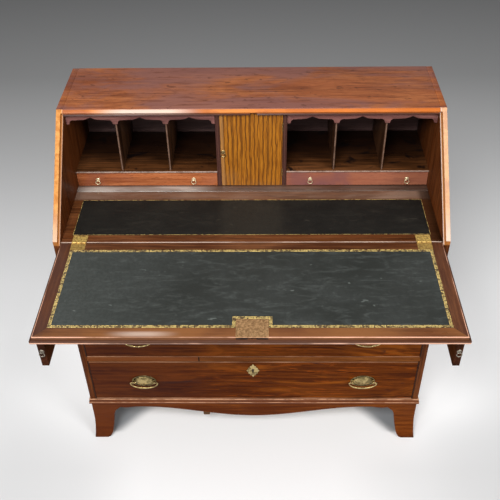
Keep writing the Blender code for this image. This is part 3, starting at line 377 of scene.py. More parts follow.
# Top
# One wide board between the sides, with level grain, faded unevenly from orange to purple-brown,
# and a rubbed front arris with a painted highlight at the left and painted shade in the rebate below.
EDGE_WORN, EDGE_BRIGHT, EDGE_RIGHT = (0.40, 0.105, 0.022), (0.70, 0.225, 0.035), (0.56, 0.140, 0.014)
REBATE_SHADE = (0.040, 0.012, 0.006)
TOP_HIGHLIGHT_X = -0.26
top_finish = Finish("top_mahogany", gloss=0.2)
top_colour, top_roughness, top_height = faded_wood(top_finish)
front_face = top_finish.fade(top_finish.z, over_z - 0.0025, over_z - 0.0008)
front_face = front_face * top_finish.band(top_finish.z, over_z - 0.0150, over_z - 0.0125)
edge_wear = top_finish.patches(16, 0.38, 0.62, detail=4, stretch=(0.5, 1, 1))
edge_tone = top_finish.blend(edge_wear, EDGE_WORN, EDGE_BRIGHT)
edge_tone = top_finish.blend(top_finish.band(top_finish.x, -0.05, 0.15) * 0.75, edge_tone, EDGE_RIGHT)
# A painted highlight on the front edge of the top, left of the middle.
top_highlight = top_finish.fade(abs(top_finish.x - TOP_HIGHLIGHT_X), 0.05, 0.15, 0.80)
# Painted shade in the rebate under the front edge of the top.
rebate_shade = top_finish.fade(top_finish.z, over_z - 0.0150, over_z - 0.0130, 0.9)
top_colour = top_finish.blend(rebate_shade, top_colour, REBATE_SHADE)
top_colour = top_finish.blend(front_face * 0.9, top_colour, edge_tone)
top_colour = top_finish.blend(front_face * top_highlight, top_colour, PAINTED_HIGHLIGHT_WHITE)
top_finish.dress(top_colour, top_roughness, top_height, PORE_DEPTH)
eased("top_board", "top_board_polished", 0.0012, top_finish.material, steps=3)

# Back, bottom and rails
# Pine boards nailed into the back, a pine bottom, and mahogany-faced rails between the drawers with
# thin dust panels behind them.
PINE_TONES = ((0.150, 0.075, 0.030), (0.300, 0.170, 0.075), (0.420, 0.260, 0.125))
INNER_TONES = ((0.020, 0.008, 0.004), (0.055, 0.020, 0.008), (0.120, 0.045, 0.016))
pine = wood("pine", "X", PINE_TONES, 0.6)
STAINED_TONES = ((0.14, 0.075, 0.070), (0.24, 0.13, 0.12), (0.32, 0.19, 0.17))
BACK_BOARDS, BACK_JOINT = 5, 0.0006
back_finish = Finish("back_boards", Roughness=0.6)
rear_grain = grain(back_finish, "X", PINE_TONES, 0.6)
fore_grain = grain(back_finish, "X", STAINED_TONES)
at_rear = back_finish.band(back_finish.y, back_y - 0.006, back_y - 0.004)
back_finish.dress(back_finish.blend(at_rear, fore_grain[0], rear_grain[0]), fore_grain[1] + at_rear * 0.3,
                  rear_grain[2])
back_low, back_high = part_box("back_board")


def boxes(*corners):
    """One mesh of separate boxes, each between a lowest and a highest corner."""
    bm = bmesh.new()
    for low, high in corners:
        low, high = Vector(low), Vector(high)
        size = Matrix.Diagonal((*(high - low), 1))
        bmesh.ops.create_cube(bm, size=1, matrix=Matrix.Translation((low + high) / 2) @ size)
    return meshed(bm)


back_step = (back_high.z - back_low.z) / BACK_BOARDS
back_planks = [((back_low.x, back_low.y, back_low.z + back_step * count + BACK_JOINT / 2),
                (back_high.x, back_high.y, back_low.z + back_step * (count + 1) - BACK_JOINT / 2))
               for count in range(BACK_BOARDS)]
plank_mesh = boxes(*back_planks)
ease(piece("back_planks", plank_mesh, back_finish.material, "case", "pine", "back_board"), 0.0008)
eased("bottom_board", "bottom_planed", 0.0008, pine, "pine")
RAIL_TONES = ((0.110, 0.030, 0.006), (0.190, 0.058, 0.012), (0.280, 0.098, 0.022))
RAIL_SEAM_X = -0.151
RAIL_LEFT, SEAM_DARK = (0.170, 0.046, 0.014), (0.012, 0.005, 0.003)
RAIL_DEPTH = 0.020
rail_finish = Finish("rail_mahogany", WAX_GLOSS)
rail_colour, rail_roughness, rail_height = grain(rail_finish, "X", RAIL_TONES, 1.2)
seam = rail_finish.fade(abs(rail_finish.x - RAIL_SEAM_X), 0.0012, 0.0024)
behind = rail_finish.band(rail_finish.y, front_y + RAIL_DEPTH, front_y + RAIL_DEPTH + 0.001)
left_of_seam = rail_finish.fade(rail_finish.x, RAIL_SEAM_X - 0.001, RAIL_SEAM_X + 0.001, 0.6)
rail_colour = rail_finish.blend(left_of_seam, rail_colour, RAIL_LEFT)
rail_colour = rail_finish.blend(seam, rail_colour, SEAM_DARK)
rail_colour = rail_finish.blend(behind, rail_colour, PINE_TONES[1])
rail_finish.dress(rail_colour, rail_roughness, rail_height - seam, 0.0002)
for rail in ("rail_lower", "rail_middle", "rail_upper"):
    eased(rail, rail + "_faced", 0.0007, rail_finish.material)
for guide in ("loper_guide_left", "loper_guide_right"):
    eased(guide, guide + "_planed", 0.0007, side_finish.material)

# Base
# Mahogany boards planted round the foot of the case: an apron with a drooping middle between
# bracket feet that splay at the floor, and a like board along each side.
BASE_TONES = ((0.078, 0.015, 0.002), (0.145, 0.032, 0.004), (0.215, 0.058, 0.008))
BASE_THICKNESS = 0.016
FOOT_SHARES = ((0, 0), (0.03, 0.16), (0.10, 0.27), (0.20, 0.34), (0.45, 0.43), (0.75, 0.53), (0.88, 0.67),
               (1, 1))
SOLE_END, FOOT_END, CUSP_END, APRON_FROM_CORNER = 0.037, 0.0835, 0.0985, 0.1375
FLARE_ACROSS, FLARE_AHEAD = 0.007, 0.015
BASE_ROWS = 18
base_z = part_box("base_front")[1].z
foot_top, cusp_top, apron_top = 0.857 * base_z, 0.841 * base_z, 0.872 * base_z
flare_top, droop = 0.662 * base_z, 0.275 * base_z
BASE_LEFT, FLOOR_DIRT = (0.080, 0.020, 0.009), (0.020, 0.006, 0.002)
base_finish = Finish("base_mahogany", WAX_GLOSS)
base_tone, base_roughness, base_height = grain(base_finish, "X", BASE_TONES, 0.9)
dim_left = base_finish.fade(base_finish.x, -0.42, -0.20, 0.50)
soiled = base_finish.fade(base_finish.z, 0.003, 0.022, 0.75)
soiled = soiled * base_finish.patches(60, 0.40, 0.60, roughness=0.5, distortion=0.0)
base_tone = base_finish.blend(dim_left, base_tone, BASE_LEFT)
base_tone = base_finish.blend(soiled, base_tone, FLOOR_DIRT)
base_wood = base_finish.dress(base_tone, base_roughness, base_height, PORE_DEPTH)
base_side_wood = wood("base_side_mahogany", "Y", BASE_TONES, 0.9)


def foot_columns():
    """Distances from a corner with the height of the lower edge there, out to the end of the cusp."""
    columns = [(SOLE_END * step / 6, 0.0) for step in range(7)]
    for (rise, spread), (next_rise, next_spread) in zip(FOOT_SHARES, FOOT_SHARES[1:]):
        for share in (0.25, 0.5, 0.75, 1.0):
            columns.append((SOLE_END + (FOOT_END - SOLE_END) * (spread + (next_spread - spread) * share),
                            foot_top * (rise + (next_rise - rise) * share)))
    shares = [step / 8 for step in range(1, 9)]
    columns += [(FOOT_END + (CUSP_END - FOOT_END) * share, foot_top + (cusp_top - foot_top) * share)
                for share in shares]
    columns += [(CUSP_END + (APRON_FROM_CORNER - CUSP_END) * share,
                 cusp_top + (apron_top - cusp_top) * share * share * (3 - 2 * share)) for share in shares]
    return columns


def flare(height):
    return max(0.0, 1 - height / flare_top) ** 2


def base_mesh(columns, corner):
    """A board standing on edge: columns of (along, lowest height); corner gives the world place."""
    bm = bmesh.new()
    outer, inner = ([[bm.verts.new(corner(along, low + (base_z - low) * row / BASE_ROWS,
                                          BASE_THICKNESS * face))
                      for row in range(BASE_ROWS + 1)] for along, low in columns] for face in (0, 1))
    for count in range(len(columns) - 1):
        for row in range(BASE_ROWS):
            for grid in (outer, inner):
                bm.faces.new((grid[count][row], grid[count + 1][row], grid[count + 1][row + 1],
                              grid[count][row + 1]))
        for row in (0, BASE_ROWS):
            bm.faces.new((outer[count][row], outer[count + 1][row], inner[count + 1][row], inner[count][row]))
    for count in (0, len(columns) - 1):
        for row in range(BASE_ROWS):
            bm.faces.new((outer[count][row], outer[count][row + 1], inner[count][row + 1], inner[count][row]))
    return meshed(bm, outwards=True)


def front_corner(along, height, inwards):
    outward = FLARE_ACROSS * flare(height) * min(1, max(0, (abs(along) - out_x) / APRON_FROM_CORNER + 1))
    across = along + (outward if along > 0 else -outward)
    return across, front_y + inwards - FLARE_AHEAD * flare(height), height


front_half = [(distance - out_x, low) for distance, low in foot_columns()]
droop_half = out_x - APRON_FROM_CORNER - 0.015
for step in range(1, 41):
    share = 1 - step / 40
    front_half.append((-droop_half * share, apron_top - droop * (1 + cos(pi * share)) / 2))
front_columns = front_half + [(-along, low) for along, low in reversed(front_half[:-1])]
ease(piece("base_front_apron", base_mesh(front_columns, front_corner), base_wood, "case", "mahogany",
           "base_front"), 0.0012)
for side, sign in (("left", -1), ("right", 1)):
    def side_corner(along, height, inwards):
        arch_span = back_y - front_y - 2 * APRON_FROM_CORNER
        before_arch = min(1, max(0, (back_y - APRON_FROM_CORNER - along) / arch_span))
        return (sign * (out_x - inwards + FLARE_ACROSS * flare(height)),
                along - FLARE_AHEAD * flare(height) * before_arch, height)

    ahead_half = [(front_y + max(distance, BASE_THICKNESS + 0.0003), low) for distance, low in foot_columns()
                  if distance > BASE_THICKNESS - 0.004]
    rear_half = [(back_y - distance, low) for distance, low in reversed(foot_columns())]
    ease(piece(f"base_{side}_apron", base_mesh(ahead_half + rear_half, side_corner), base_side_wood, "case",
               "mahogany", f"base_side_{side}"), 0.0012)

# Base moulding
# A run of small moulding planted round the foot of the case, mitred at the corners: a flat fillet
# with a hollow and a bead over it, with painted highlight lines along the bead and the fillet.
moulding_low, moulding_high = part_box("base_moulding")
MOULDING_TONES, MOULDING_HIGHLIGHT = (BASE_TONES[0], BASE_TONES[1], RAIL_TONES[1]), (0.52, 0.27, 0.15)
MOULDING_PROUD = 0.005
MOULDING_SHAPE = ((1.0, 0.0), (1.0, 0.40), (0.92, 0.47), (0.62, 0.50), (0.52, 0.56), (0.50, 0.64),
                  (0.58, 0.72), (0.70, 0.78), (0.74, 0.86), (0.66, 0.95), (0.46, 1.0), (0.0, 1.0))


def lofted(loops, around=False):
    """A closed shell through loops of points; a loop of one point is a pole, around joins last to first."""
    bm = bmesh.new()
    rings = [[bm.verts.new(point) for point in loop] for loop in loops]
    for one, two in zip(rings, rings[1:] + (rings[:1] if around else [])):
        for index in range(max(len(one), len(two))):
            corners = [ring[count % len(ring)] for ring, count in
                       ((one, index), (one, index + 1), (two, index + 1), (two, index))]
            bm.faces.new(list(dict.fromkeys(corners)))
    if not around:
        for ring in (rings[0], rings[-1]):
            if len(ring) > 1:
                bm.faces.new(ring)
    return meshed(bm, outwards=True)


def swept(section, path, closed=False):
    """Sweeps a section of (outwards, up) points along a level path, mitred; outwards is to its right."""
    loops = []
    for index, point in enumerate(path):
        before = path[index - 1] if index or closed else None
        after = path[(index + 1) % len(path)] if index + 1 < len(path) or closed else None
        runs = [(Vector(b) - Vector(a)).normalized() for a, b in ((before, point), (point, after)) if a and b]
        outs = [Vector((run.y, -run.x, 0)) for run in runs]
        mitre = sum(outs, Vector()).normalized()
        mitre /= max(0.3, mitre.dot(outs[0]))
        loops.append([Vector(point) + mitre * out + Vector((0, 0, up)) for out, up in section])
    return lofted(loops, closed)


moulding_height = moulding_high.z - moulding_low.z
moulding_section = [(MOULDING_PROUD * out, moulding_height * up) for out, up in MOULDING_SHAPE] + [(0, 0)]
moulding_path = [(sign * out_x, y, base_z)
                 for sign, y in ((-1, back_y), (-1, front_y), (1, front_y), (1, back_y))]
moulding_finish = Finish("moulding_mahogany", gloss=0.2)
run_colour, run_roughness, run_height = grain(moulding_finish, "X", MOULDING_TONES, 1.5)
up_run = (moulding_finish.z - base_z) / moulding_height
# Painted highlight lines near the top of the bead and of the fillet, broken in patches.
run_breaks = moulding_finish.patches(30, 0.36, 0.60, detail=4, distortion=0.4, start=0.30, end=0.95)
run_highlights = moulding_finish.band(up_run, 0.86, 0.95) + moulding_finish.fade(abs(up_run - 0.37), 0.05, 0.10)
run_colour = moulding_finish.blend(run_highlights * run_breaks, run_colour, MOULDING_HIGHLIGHT)
moulding_wood = moulding_finish.dress(run_colour, run_roughness, run_height, 0.0001)
ease(piece("base_moulding_run", swept(moulding_section, moulding_path), moulding_wood, "case", "mahogany",
           "base_moulding"), 0.0003, 1, 50)

# Desk
# The fixed part of the writing surface: a mahogany board between the sides with dark leather let
# into it, edged with one thin gilt line. The wood has a painted sheen before the nest and a painted
# highlight on its front arris at the joint; the leather has painted reflections.
DESK_TONES = ((0.050, 0.014, 0.004), (0.110, 0.032, 0.009), (0.200, 0.070, 0.022))
NEST_SHEEN, DESK_RIGHT = (0.255, 0.165, 0.120), (0.022, 0.009, 0.004)
LEATHER_RISE = 0.00035
desk_finish = Finish("desk_mahogany", gloss=0.2)
leather_low, leather_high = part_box("desk_leather")
desk_tone, desk_roughness, desk_height = grain(desk_finish, "X", DESK_TONES, 1.3)
# A painted sheen, in patches, on the strip of desk before the nest.
nest_sheen = desk_finish.band(desk_finish.y, leather_high.y - 0.004, leather_high.y + 0.010)
nest_sheen = nest_sheen * desk_finish.patches(14, 0.36, 0.64, detail=4, distortion=0.4, stretch=(0.3, 1, 1),
                                        start=0.25, end=0.75)
desk_tone = desk_finish.blend(nest_sheen, desk_tone, NEST_SHEEN)
at_right = desk_finish.band(desk_finish.x, leather_high.x - 0.012, leather_high.x + 0.006, 0.0, 0.7)
desk_tone = desk_finish.blend(at_right, desk_tone, DESK_RIGHT)
# A painted highlight along the front arris of the desk at the hinge joint.
joint_highlight = desk_finish.fade(desk_finish.y, hinge_y + 0.0014, hinge_y + 0.0030, 0.65)
joint_highlight = joint_highlight * desk_finish.patches(18, 0.36, 0.58, stretch=(0.4, 1, 1), start=0.45)
joint_highlight = joint_highlight * desk_finish.band(desk_finish.z, desk_z - 0.0014, desk_z - 0.0006)
desk_wood = desk_finish.dress(desk_finish.blend(joint_highlight, desk_tone, PAINTED_HIGHLIGHT_WHITE), desk_roughness,
                              desk_height, PORE_DEPTH)
eased("desk_board", "desk_board_polished", 0.0005, desk_wood)


def leather(name, colour, worn, sheen_at):
    """Old dyed hide: fine grain, rubbed marks, light scuffs, a few scratches, and a painted sheen where told.
    """
    finish = Finish(name, gloss=0.3)
    hide = finish.node("ShaderNodeTexVoronoi", {"feature": "DISTANCE_TO_EDGE"},
                       {"Vector": finish.place, "Scale": 900.0}, "Distance")
    cloud = finish.noise(5.5, 4, 0.6, 0.6)
    rub = finish.noise(38, 4, 0.7, 1.2, finish.stretched((0.45, 1.5, 1)))
    fleck = finish.patches(70, 0.715, 0.76, detail=2, roughness=0.5, distortion=0.4, stretch=(0.5, 1, 1))
    winding = finish.noise(16, 3, 0.55, 2.2, finish.stretched((0.5, 1.6, 1)))
    scratch = finish.fade(abs(winding - 0.5), 0.0, 0.0035) * finish.band(cloud, 0.50, 0.62)
    pale, scratched, flecked = ([value * times for value in worn] for times in (1.9, 4, 6))
    tone = finish.blend(finish.band(cloud, 0.36, 0.66) * 0.75, colour, worn)
    tone = finish.blend(sheen_at(finish), tone, pale)
    tone = finish.blend(finish.band(rub, 0.46, 0.72) * 0.65, tone, pale)
    tone = finish.blend(finish.patches(150, 0.42, 0.62, roughness=0.7, distortion=0.4) * 0.35, tone, colour)
    tone = finish.blend(fleck * 0.35, tone, flecked)
    tone = finish.blend(scratch * 0.30, tone, scratched)
    roughness = 0.46 + 0.16 * cloud + 0.12 * rub
    height = finish.band(hide, 0.0, 0.25) * 0.4 + rub * 0.6 - scratch * 0.6
    return finish.dress(tone, roughness, height, 0.00025)


# Painted reflections on the desk leather: a pale band under the door and a patchy hazy sheen at the back.
def desk_sheen(finish):
    door_reflection = finish.fade(abs(finish.x), 0.060, 0.095, 0.75)
    haze_sheen = finish.band(finish.y, leather_high.y - 0.060, leather_high.y - 0.010, 0.0, 0.6)
    return door_reflection + haze_sheen * finish.patches(8, 0.42, 0.60, detail=2, roughness=0.5, distortion=0.0)


# A painted sheen on the fall leather, stronger towards the left.
def fall_sheen(finish):
    return finish.fade(finish.x, -0.46, -0.10, 0.55)


desk_hide = leather("desk_hide", (0.005, 0.0045, 0.0032), (0.010, 0.0085, 0.006), desk_sheen)
desk_hide_box = boxes((leather_low, leather_high + Vector((0, 0, LEATHER_RISE))))
ease(piece("desk_leather_skin", desk_hide_box, desk_hide, "case", "leather", "desk_leather"), 0.0003, 1)

# Fall
# The sloping front, let down as a writing surface: a mahogany board with clamped ends, mitred at
# the front corners, and a thumb-moulded lip on three edges that shuts into the rebate of the case.
# The front margin has a painted glare at the left, and the arris and the nose of the lip carry pale
# lines that are partly rubbed wear and partly painted highlight.
LIP_REACH, LIP_STEP_REACH = 0.005, 0.0125
CLAMP_WIDTH, GLARE_LEFT = 0.045, 0.23
NOSE_MIDDLE, NOSE_REACH = (0.0008, 0.0112), (0.0042, 0.0080)


def arc(middle, radii, start, end, steps):
    """Points on an ellipse about a middle, from start to end in half turns."""
    turns = [pi * (start + (end - start) * step / steps) for step in range(steps + 1)]
    return [(middle[0] + radii[0] * cos(turn), middle[1] + radii[1] * sin(turn)) for turn in turns]


FALL_SHAPE = [(-0.0016, 0), (-0.0007, 0.0002), (-0.0002, 0.0007), (0, 0.0016), (0, 0.0068), (0.0003, 0.0071),
              (0.0044, 0.0071), (0.0050, 0.0077), *arc(NOSE_MIDDLE, NOSE_REACH, 0, 0.5, 6), (0.0002, 0.0187),
              (0.0, 0.0178), (-0.0004, 0.0150)]
fall_low, fall_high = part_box("fall_board")
fall_half, fall_front_y, fall_back_y = fall_high.x - LIP_REACH, fall_low.y + LIP_REACH, fall_high.y
fall_loops = []
for out, down in FALL_SHAPE:
    rear = fall_back_y - (abs(out) if out < 0 else LIP_STEP_REACH * min(1, out / 0.002))
    across, ahead_y = fall_half + out, fall_front_y - out
    fall_loops.append([(x, y, fall_high.z - down) for x, y in
                       ((-across, rear), (-across, ahead_y), (across, ahead_y), (across, rear))])
FALL_TONES = ((0.050, 0.014, 0.005), (0.105, 0.031, 0.010), (0.190, 0.070, 0.025))
JOINT_DARK, FALL_GOLD, FALL_LEFT = (0.015, 0.006, 0.003), (0.230, 0.088, 0.024), (0.062, 0.026, 0.019)
EDGE_DARK, ARRIS_WEAR_AND_HIGHLIGHT = (0.050, 0.013, 0.004), (0.78, 0.42, 0.28)
fall_finish = Finish("fall_mahogany", gloss=0.3)
level_grain = grain(fall_finish, "X", FALL_TONES, 1.2)
clamp_grain = grain(fall_finish, "Y", FALL_TONES, 1.2)
from_end, from_front = fall_half - abs(fall_finish.x), fall_finish.y - fall_front_y
from_edge, below_top = fall_finish.math("MINIMUM", from_end, from_front), fall_high.z - fall_finish.z
past_mitre = from_front - from_end
at_clamp = fall_finish.fade(from_end, CLAMP_WIDTH - 0.0002, CLAMP_WIDTH + 0.0002)
in_clamp = at_clamp * fall_finish.band(past_mitre, -0.0002, 0.0002)
mitre_line = fall_finish.fade(abs(past_mitre), 0.0004, 0.0010, 0.8) * at_clamp
uneven = fall_finish.patches(26, 0.36, 0.62, distortion=0.5, stretch=(1, 0.25, 1), start=0.45)
dim_end = (fall_finish.fade(fall_finish.x, -0.47, -0.30, 0.50) + in_clamp * 0.25) * uneven
# Pale lines on the upper arris and on the nose of the lip: partly rubbed wear, partly painted highlight.
arris_line = fall_finish.fade(from_edge, 0.0012, 0.0026) * fall_finish.fade(below_top, 0.0010, 0.0022)
nose_line = fall_finish.fade(from_edge, -0.0042, -0.0034) * fall_finish.band(below_top, 0.0112, 0.0125)
nose_line = nose_line * fall_finish.fade(below_top, 0.0170, 0.0184)
rubbed = fall_finish.patches(22, 0.40, 0.60, 4, distortion=0.4, stretch=(0.4, 0.4, 1), start=0.15)
golden = fall_finish.patches(9, 0.34, 0.62, 4, distortion=0.5, stretch=(0.4, 1, 1))
on_front = fall_finish.fade(from_front, 0.026, 0.030) * fall_finish.fade(past_mitre, -0.0002, 0.0002)
# A painted glare on the front margin, left of the middle.
glare = fall_finish.fade(abs(fall_finish.x + GLARE_LEFT), 0.01, 0.09, 0.45)
glare = glare * fall_finish.fade(abs(from_front - 0.010), 0.002, 0.011)
fall_colour = fall_finish.blend(in_clamp, level_grain[0], clamp_grain[0])
for mask, tone in ((mitre_line, JOINT_DARK), (on_front * (0.15 + 0.60 * golden), FALL_GOLD),
                   (dim_end, FALL_LEFT), (glare, PAINTED_HIGHLIGHT_WHITE),
                   (fall_finish.fade(from_edge, -0.0004, 0.0004) * 0.85, EDGE_DARK),
                   ((arris_line * 0.85 + nose_line) * rubbed, ARRIS_WEAR_AND_HIGHLIGHT)):
    fall_colour = fall_finish.blend(mask, fall_colour, tone)
fall_finish.dress(fall_colour, level_grain[1], level_grain[2] - mitre_line, PORE_DEPTH)
ease(piece("fall_polished", lofted(fall_loops), fall_finish.material, "fall", "mahogany", "fall_board"),
     0.0003, 1, 50)

# Leather of the fall
# Dark green-black hide let into the fall and stepped round the lock, with a gilt tooled border: a
# chain of small rings with dots in them, stamped between two fine lines.
NOTCH_MARGIN = 0.0003
BORDER_WIDTH, LINE_WIDTH, LINE_INSET, GILT_RISE = 0.0062, 0.0006, 0.0006, 0.00012
CHAIN_PITCH, RING_OF_CHAIN = 0.0064, 0.0023
GOLD, GOLD_WORN = (1.0, 0.72, 0.23), (0.14, 0.062, 0.012)
hide_low, hide_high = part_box("fall_leather")
lock_low, lock_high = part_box("fall_lock")
notch_left, notch_right = lock_low.x - NOTCH_MARGIN, lock_high.x + NOTCH_MARGIN
notch_y = lock_high.y + NOTCH_MARGIN


def prism(outline, start, end, along):
    """An outline drawn on the two axes other than along, and run along the third."""
    order = {"X": (2, 0, 1), "Y": (0, 2, 1), "Z": (0, 1, 2)}[along]
    return lofted([[[(across, up, reach)[axis] for axis in order] for across, up in outline]
                   for reach in (start, end)])


def hide_outline(inset):
    """The leather's edge, counter-clockwise from its far left corner, moved in by a distance."""
    left, right = hide_low.x + inset, hide_high.x - inset
    near, far = hide_low.y + inset, hide_high.y - inset
    return [(left, far), (left, near), (notch_left - inset, near), (notch_left - inset, notch_y + inset),
            (notch_right + inset, notch_y + inset), (notch_right + inset, near), (right, near), (right, far)]


hide_top = hide_high.z + LEATHER_RISE
fall_hide = leather("fall_hide", (0.0195, 0.0220, 0.0190), (0.036, 0.040, 0.0370), fall_sheen)
ease(piece("fall_leather_skin", prism(hide_outline(0), hide_low.z, hide_top, "Z"), fall_hide, "fall",
           "leather", "fall_leather"), 0.0003, 1)
gilt_finish = Finish("gilt", Metallic=0.15)
gilt_worn = gilt_finish.patches(150, 0.43, 0.54, 4, 0.75)
gilt = gilt_finish.dress(gilt_finish.blend(gilt_worn, GOLD_WORN, GOLD), 0.42 - 0.10 * gilt_worn, gilt_worn,
                         0.0001)


def gilt_line(name, outline_at, inset, body, top):
    """A thin closed line of gold leaf, as a flat ribbon with a little thickness."""
    low, high = top - GILT_RISE, top + GILT_RISE
    loops = [[(x, y, z) for x, y in outline_at(inset + past)]
             for past, z in ((0, low), (0, high), (LINE_WIDTH, high), (LINE_WIDTH, low))]
    return piece(name, lofted(loops, around=True), gilt, body, "brass")


gilt_line("tooled_line_outer", hide_outline, LINE_INSET, "fall", hide_top)
gilt_line("tooled_line_inner", hide_outline, LINE_INSET + BORDER_WIDTH, "fall", hide_top)


def tree(name, *inputs):
    """An empty Geometry Nodes tree with named inputs, its input node and a way to add nodes."""
    made = bpy.data.node_groups.new(name, "GeometryNodeTree")
    made.interface.new_socket("Geometry", in_out="INPUT", socket_type="NodeSocketGeometry")
    sockets = {}
    for label, kind in inputs:
        sockets[label] = made.interface.new_socket(label, in_out="INPUT", socket_type=kind).identifier
    made.interface.new_socket("Geometry", in_out="OUTPUT", socket_type="NodeSocketGeometry")
    entry = made.nodes.new("NodeGroupInput")
    leave = made.nodes.new("NodeGroupOutput")

    def add(kind, settings=None, links=None):
        node = made.nodes.new(kind)
        for label, value in (settings or {}).items():
            setattr(node, label, value)
        for label, value in (links or {}).items():
            if isinstance(value, bpy.types.NodeSocket):
                made.links.new(value, node.inputs[label])
            else:
                node.inputs[label].default_value = value
        return node

    def close(geometry, material):
        real = add("GeometryNodeRealizeInstances", links={0: geometry})
        painted = add("GeometryNodeSetMaterial", links={"Geometry": real.outputs[0], "Material": material})
        made.links.new(painted.outputs[0], leave.inputs[0])

    return made, sockets, entry.outputs, add, close


def grown(guide, made, sockets, values):
    """Runs a Geometry Nodes tree on a guide object and returns the result as a plain mesh."""
    scene.collection.objects.link(guide)
    modifier = guide.modifiers.new("nodes", "NODES")
    modifier.node_group = made
    for label, value in values.items():
        modifier[sockets[label]] = value
    ready = guide.evaluated_get(bpy.context.evaluated_depsgraph_get())
    mesh = bpy.data.meshes.new_from_object(ready)
    guide.modifiers.remove(modifier)
    bpy.data.objects.remove(guide, do_unlink=True)
    return mesh


chain, chain_inputs, given, add, close = tree("tooled_chain", ("Pitch", "NodeSocketFloat"),
                                              ("Ring Radius", "NodeSocketFloat"),
                                              ("Gilt", "NodeSocketMaterial"))
spaced = add("GeometryNodeResampleCurve", {"mode": "LENGTH"},
             {"Curve": given["Geometry"], "Length": given["Pitch"]})
tangent = add("GeometryNodeInputTangent")
facing = add("FunctionNodeAlignRotationToVector", {"axis": "X"}, {"Vector": tangent.outputs[0]})
circle = add("GeometryNodeCurvePrimitiveCircle", links={"Resolution": 9, "Radius": given["Ring Radius"]})
wire = add("GeometryNodeCurvePrimitiveCircle", links={"Resolution": 4, "Radius": 0.0005})
ring_of_gold = add("GeometryNodeCurveToMesh", links={"Curve": circle.outputs[0],
                                                     "Profile Curve": wire.outputs[0]})
dot = add("GeometryNodeMeshIcoSphere", links={"Radius": 0.0010, "Subdivisions": 1})
bead = add("GeometryNodeMeshIcoSphere", links={"Radius": 0.0007, "Subdivisions": 1})
beads = [add("GeometryNodeTransform", links={"Geometry": bead.outputs[0], "Translation": (0.0032, across, 0)})
         for across in (-0.0020, 0.0020)]
stamp = add("GeometryNodeJoinGeometry")
chain.links.new(ring_of_gold.outputs[0], stamp.inputs[0])
chain.links.new(dot.outputs[0], stamp.inputs[0])
for bead in beads:
    chain.links.new(bead.outputs[0], stamp.inputs[0])
flat = add("GeometryNodeTransform", links={"Geometry": stamp.outputs[0], "Scale": (1.0, 1.0, 0.4)})
stamps = add("GeometryNodeInstanceOnPoints", links={"Points": spaced.outputs[0], "Instance": flat.outputs[0],
                                                    "Rotation": facing.outputs[0]})
close(stamps.outputs[0], given["Gilt"])
chain_curve = bpy.data.curves.new("chain_path", "CURVE")
chain_curve.dimensions = "3D"
chain_path = chain_curve.splines.new("POLY")
chain_points = hide_outline(LINE_INSET + BORDER_WIDTH / 2 + LINE_WIDTH / 2)
chain_path.points.add(len(chain_points) - 1)
for point, (x, y) in zip(chain_path.points, chain_points):
    point.co = (x, y, hide_top, 1)
chain_path.use_cyclic_u = True
chain_mesh = grown(bpy.data.objects.new("chain_path", chain_curve), chain, chain_inputs,
                   {"Pitch": CHAIN_PITCH, "Ring Radius": RING_OF_CHAIN, "Gilt": gilt})
piece("tooled_chain", chain_mesh, gilt, "fall", "brass")


def desk_outline(inset):
    return [(leather_low.x + inset, leather_high.y - inset), (leather_low.x + inset, leather_low.y + inset),
            (leather_high.x - inset, leather_low.y + inset), (leather_high.x - inset, leather_high.y - inset)]


gilt_line("desk_tooled_line", desk_outline, 0.0004, "case", leather_high.z + LEATHER_RISE)

# Lock of the fall
# A brass plate let into the edge, rubbed to a dull copper tan, with a dark iron face on the edge
# itself where the bolt comes out.
LOCK_RISE, EDGE_PLATE_THICKNESS = 0.0003, 0.0014
BOLT_GAP_HALF, LOCK_SCREW_REACH = 0.0092, 0.0305
OLD_BRASS, TARNISHED = (0.66, 0.50, 0.22), (0.30, 0.22, 0.10)
COPPER_DULL, COPPER_TAN, SCORED_BRIGHT = (0.34, 0.185, 0.080), (0.66, 0.40, 0.19), (0.72, 0.50, 0.30)
IRON_DARK, IRON_RUST = (0.030, 0.024, 0.020), (0.075, 0.055, 0.042)
brass_finish = Finish("old_brass", Metallic=1.0)
tarnish = brass_finish.patches(140, 0.38, 0.66, 4, 0.65, 0.5)
brass = brass_finish.dress(brass_finish.blend(tarnish, OLD_BRASS, TARNISHED), 0.26 + 0.24 * tarnish,
                           brass_finish.noise(600, 2), 0.00006)
plate_finish = Finish("lock_plate_brass", Metallic=0.85)
stain = plate_finish.noise(160, 4, 0.7, 0.8)
plate_tone = plate_finish.blend(plate_finish.band(stain, 0.36, 0.62), COPPER_DULL, COPPER_TAN)
scored = plate_finish.patches(90, 0.66, 0.72, distortion=1.5)
plate_tone = plate_finish.blend(scored * 0.6, plate_tone, SCORED_BRIGHT)
plate_brass = plate_finish.dress(plate_tone, 0.46 + 0.16 * stain, stain)
iron_finish = Finish("dark_iron", Metallic=0.9)
rust = iron_finish.noise(200, 4, 0.6)
iron = iron_finish.dress(iron_finish.blend(rust, IRON_DARK, IRON_RUST), 0.45 + 0.2 * rust, rust, 0.0001)
lock_x = (lock_low.x + lock_high.x) / 2
lock_plate = boxes((lock_low + Vector((0, 0.0003, 0.0050)), lock_high + Vector((0, 0, LOCK_RISE))))
ease(piece("lock_plate", lock_plate, plate_brass, "fall", "brass", "fall_lock"), 0.0004)
edge_left, edge_right, edge_top = lock_low.x + 0.001, lock_high.x - 0.001, lock_high.z - 0.0012
edge_plate = boxes(*(((left, lock_low.y - 0.0002, low), (right, lock_low.y + EDGE_PLATE_THICKNESS, edge_top))
                     for left, right, low in ((edge_left, lock_x - BOLT_GAP_HALF, lock_low.z),
                                              (lock_x + BOLT_GAP_HALF, edge_right, lock_low.z),
                                              (lock_x - BOLT_GAP_HALF, lock_x + BOLT_GAP_HALF,
                                               lock_high.z - 0.0026))))
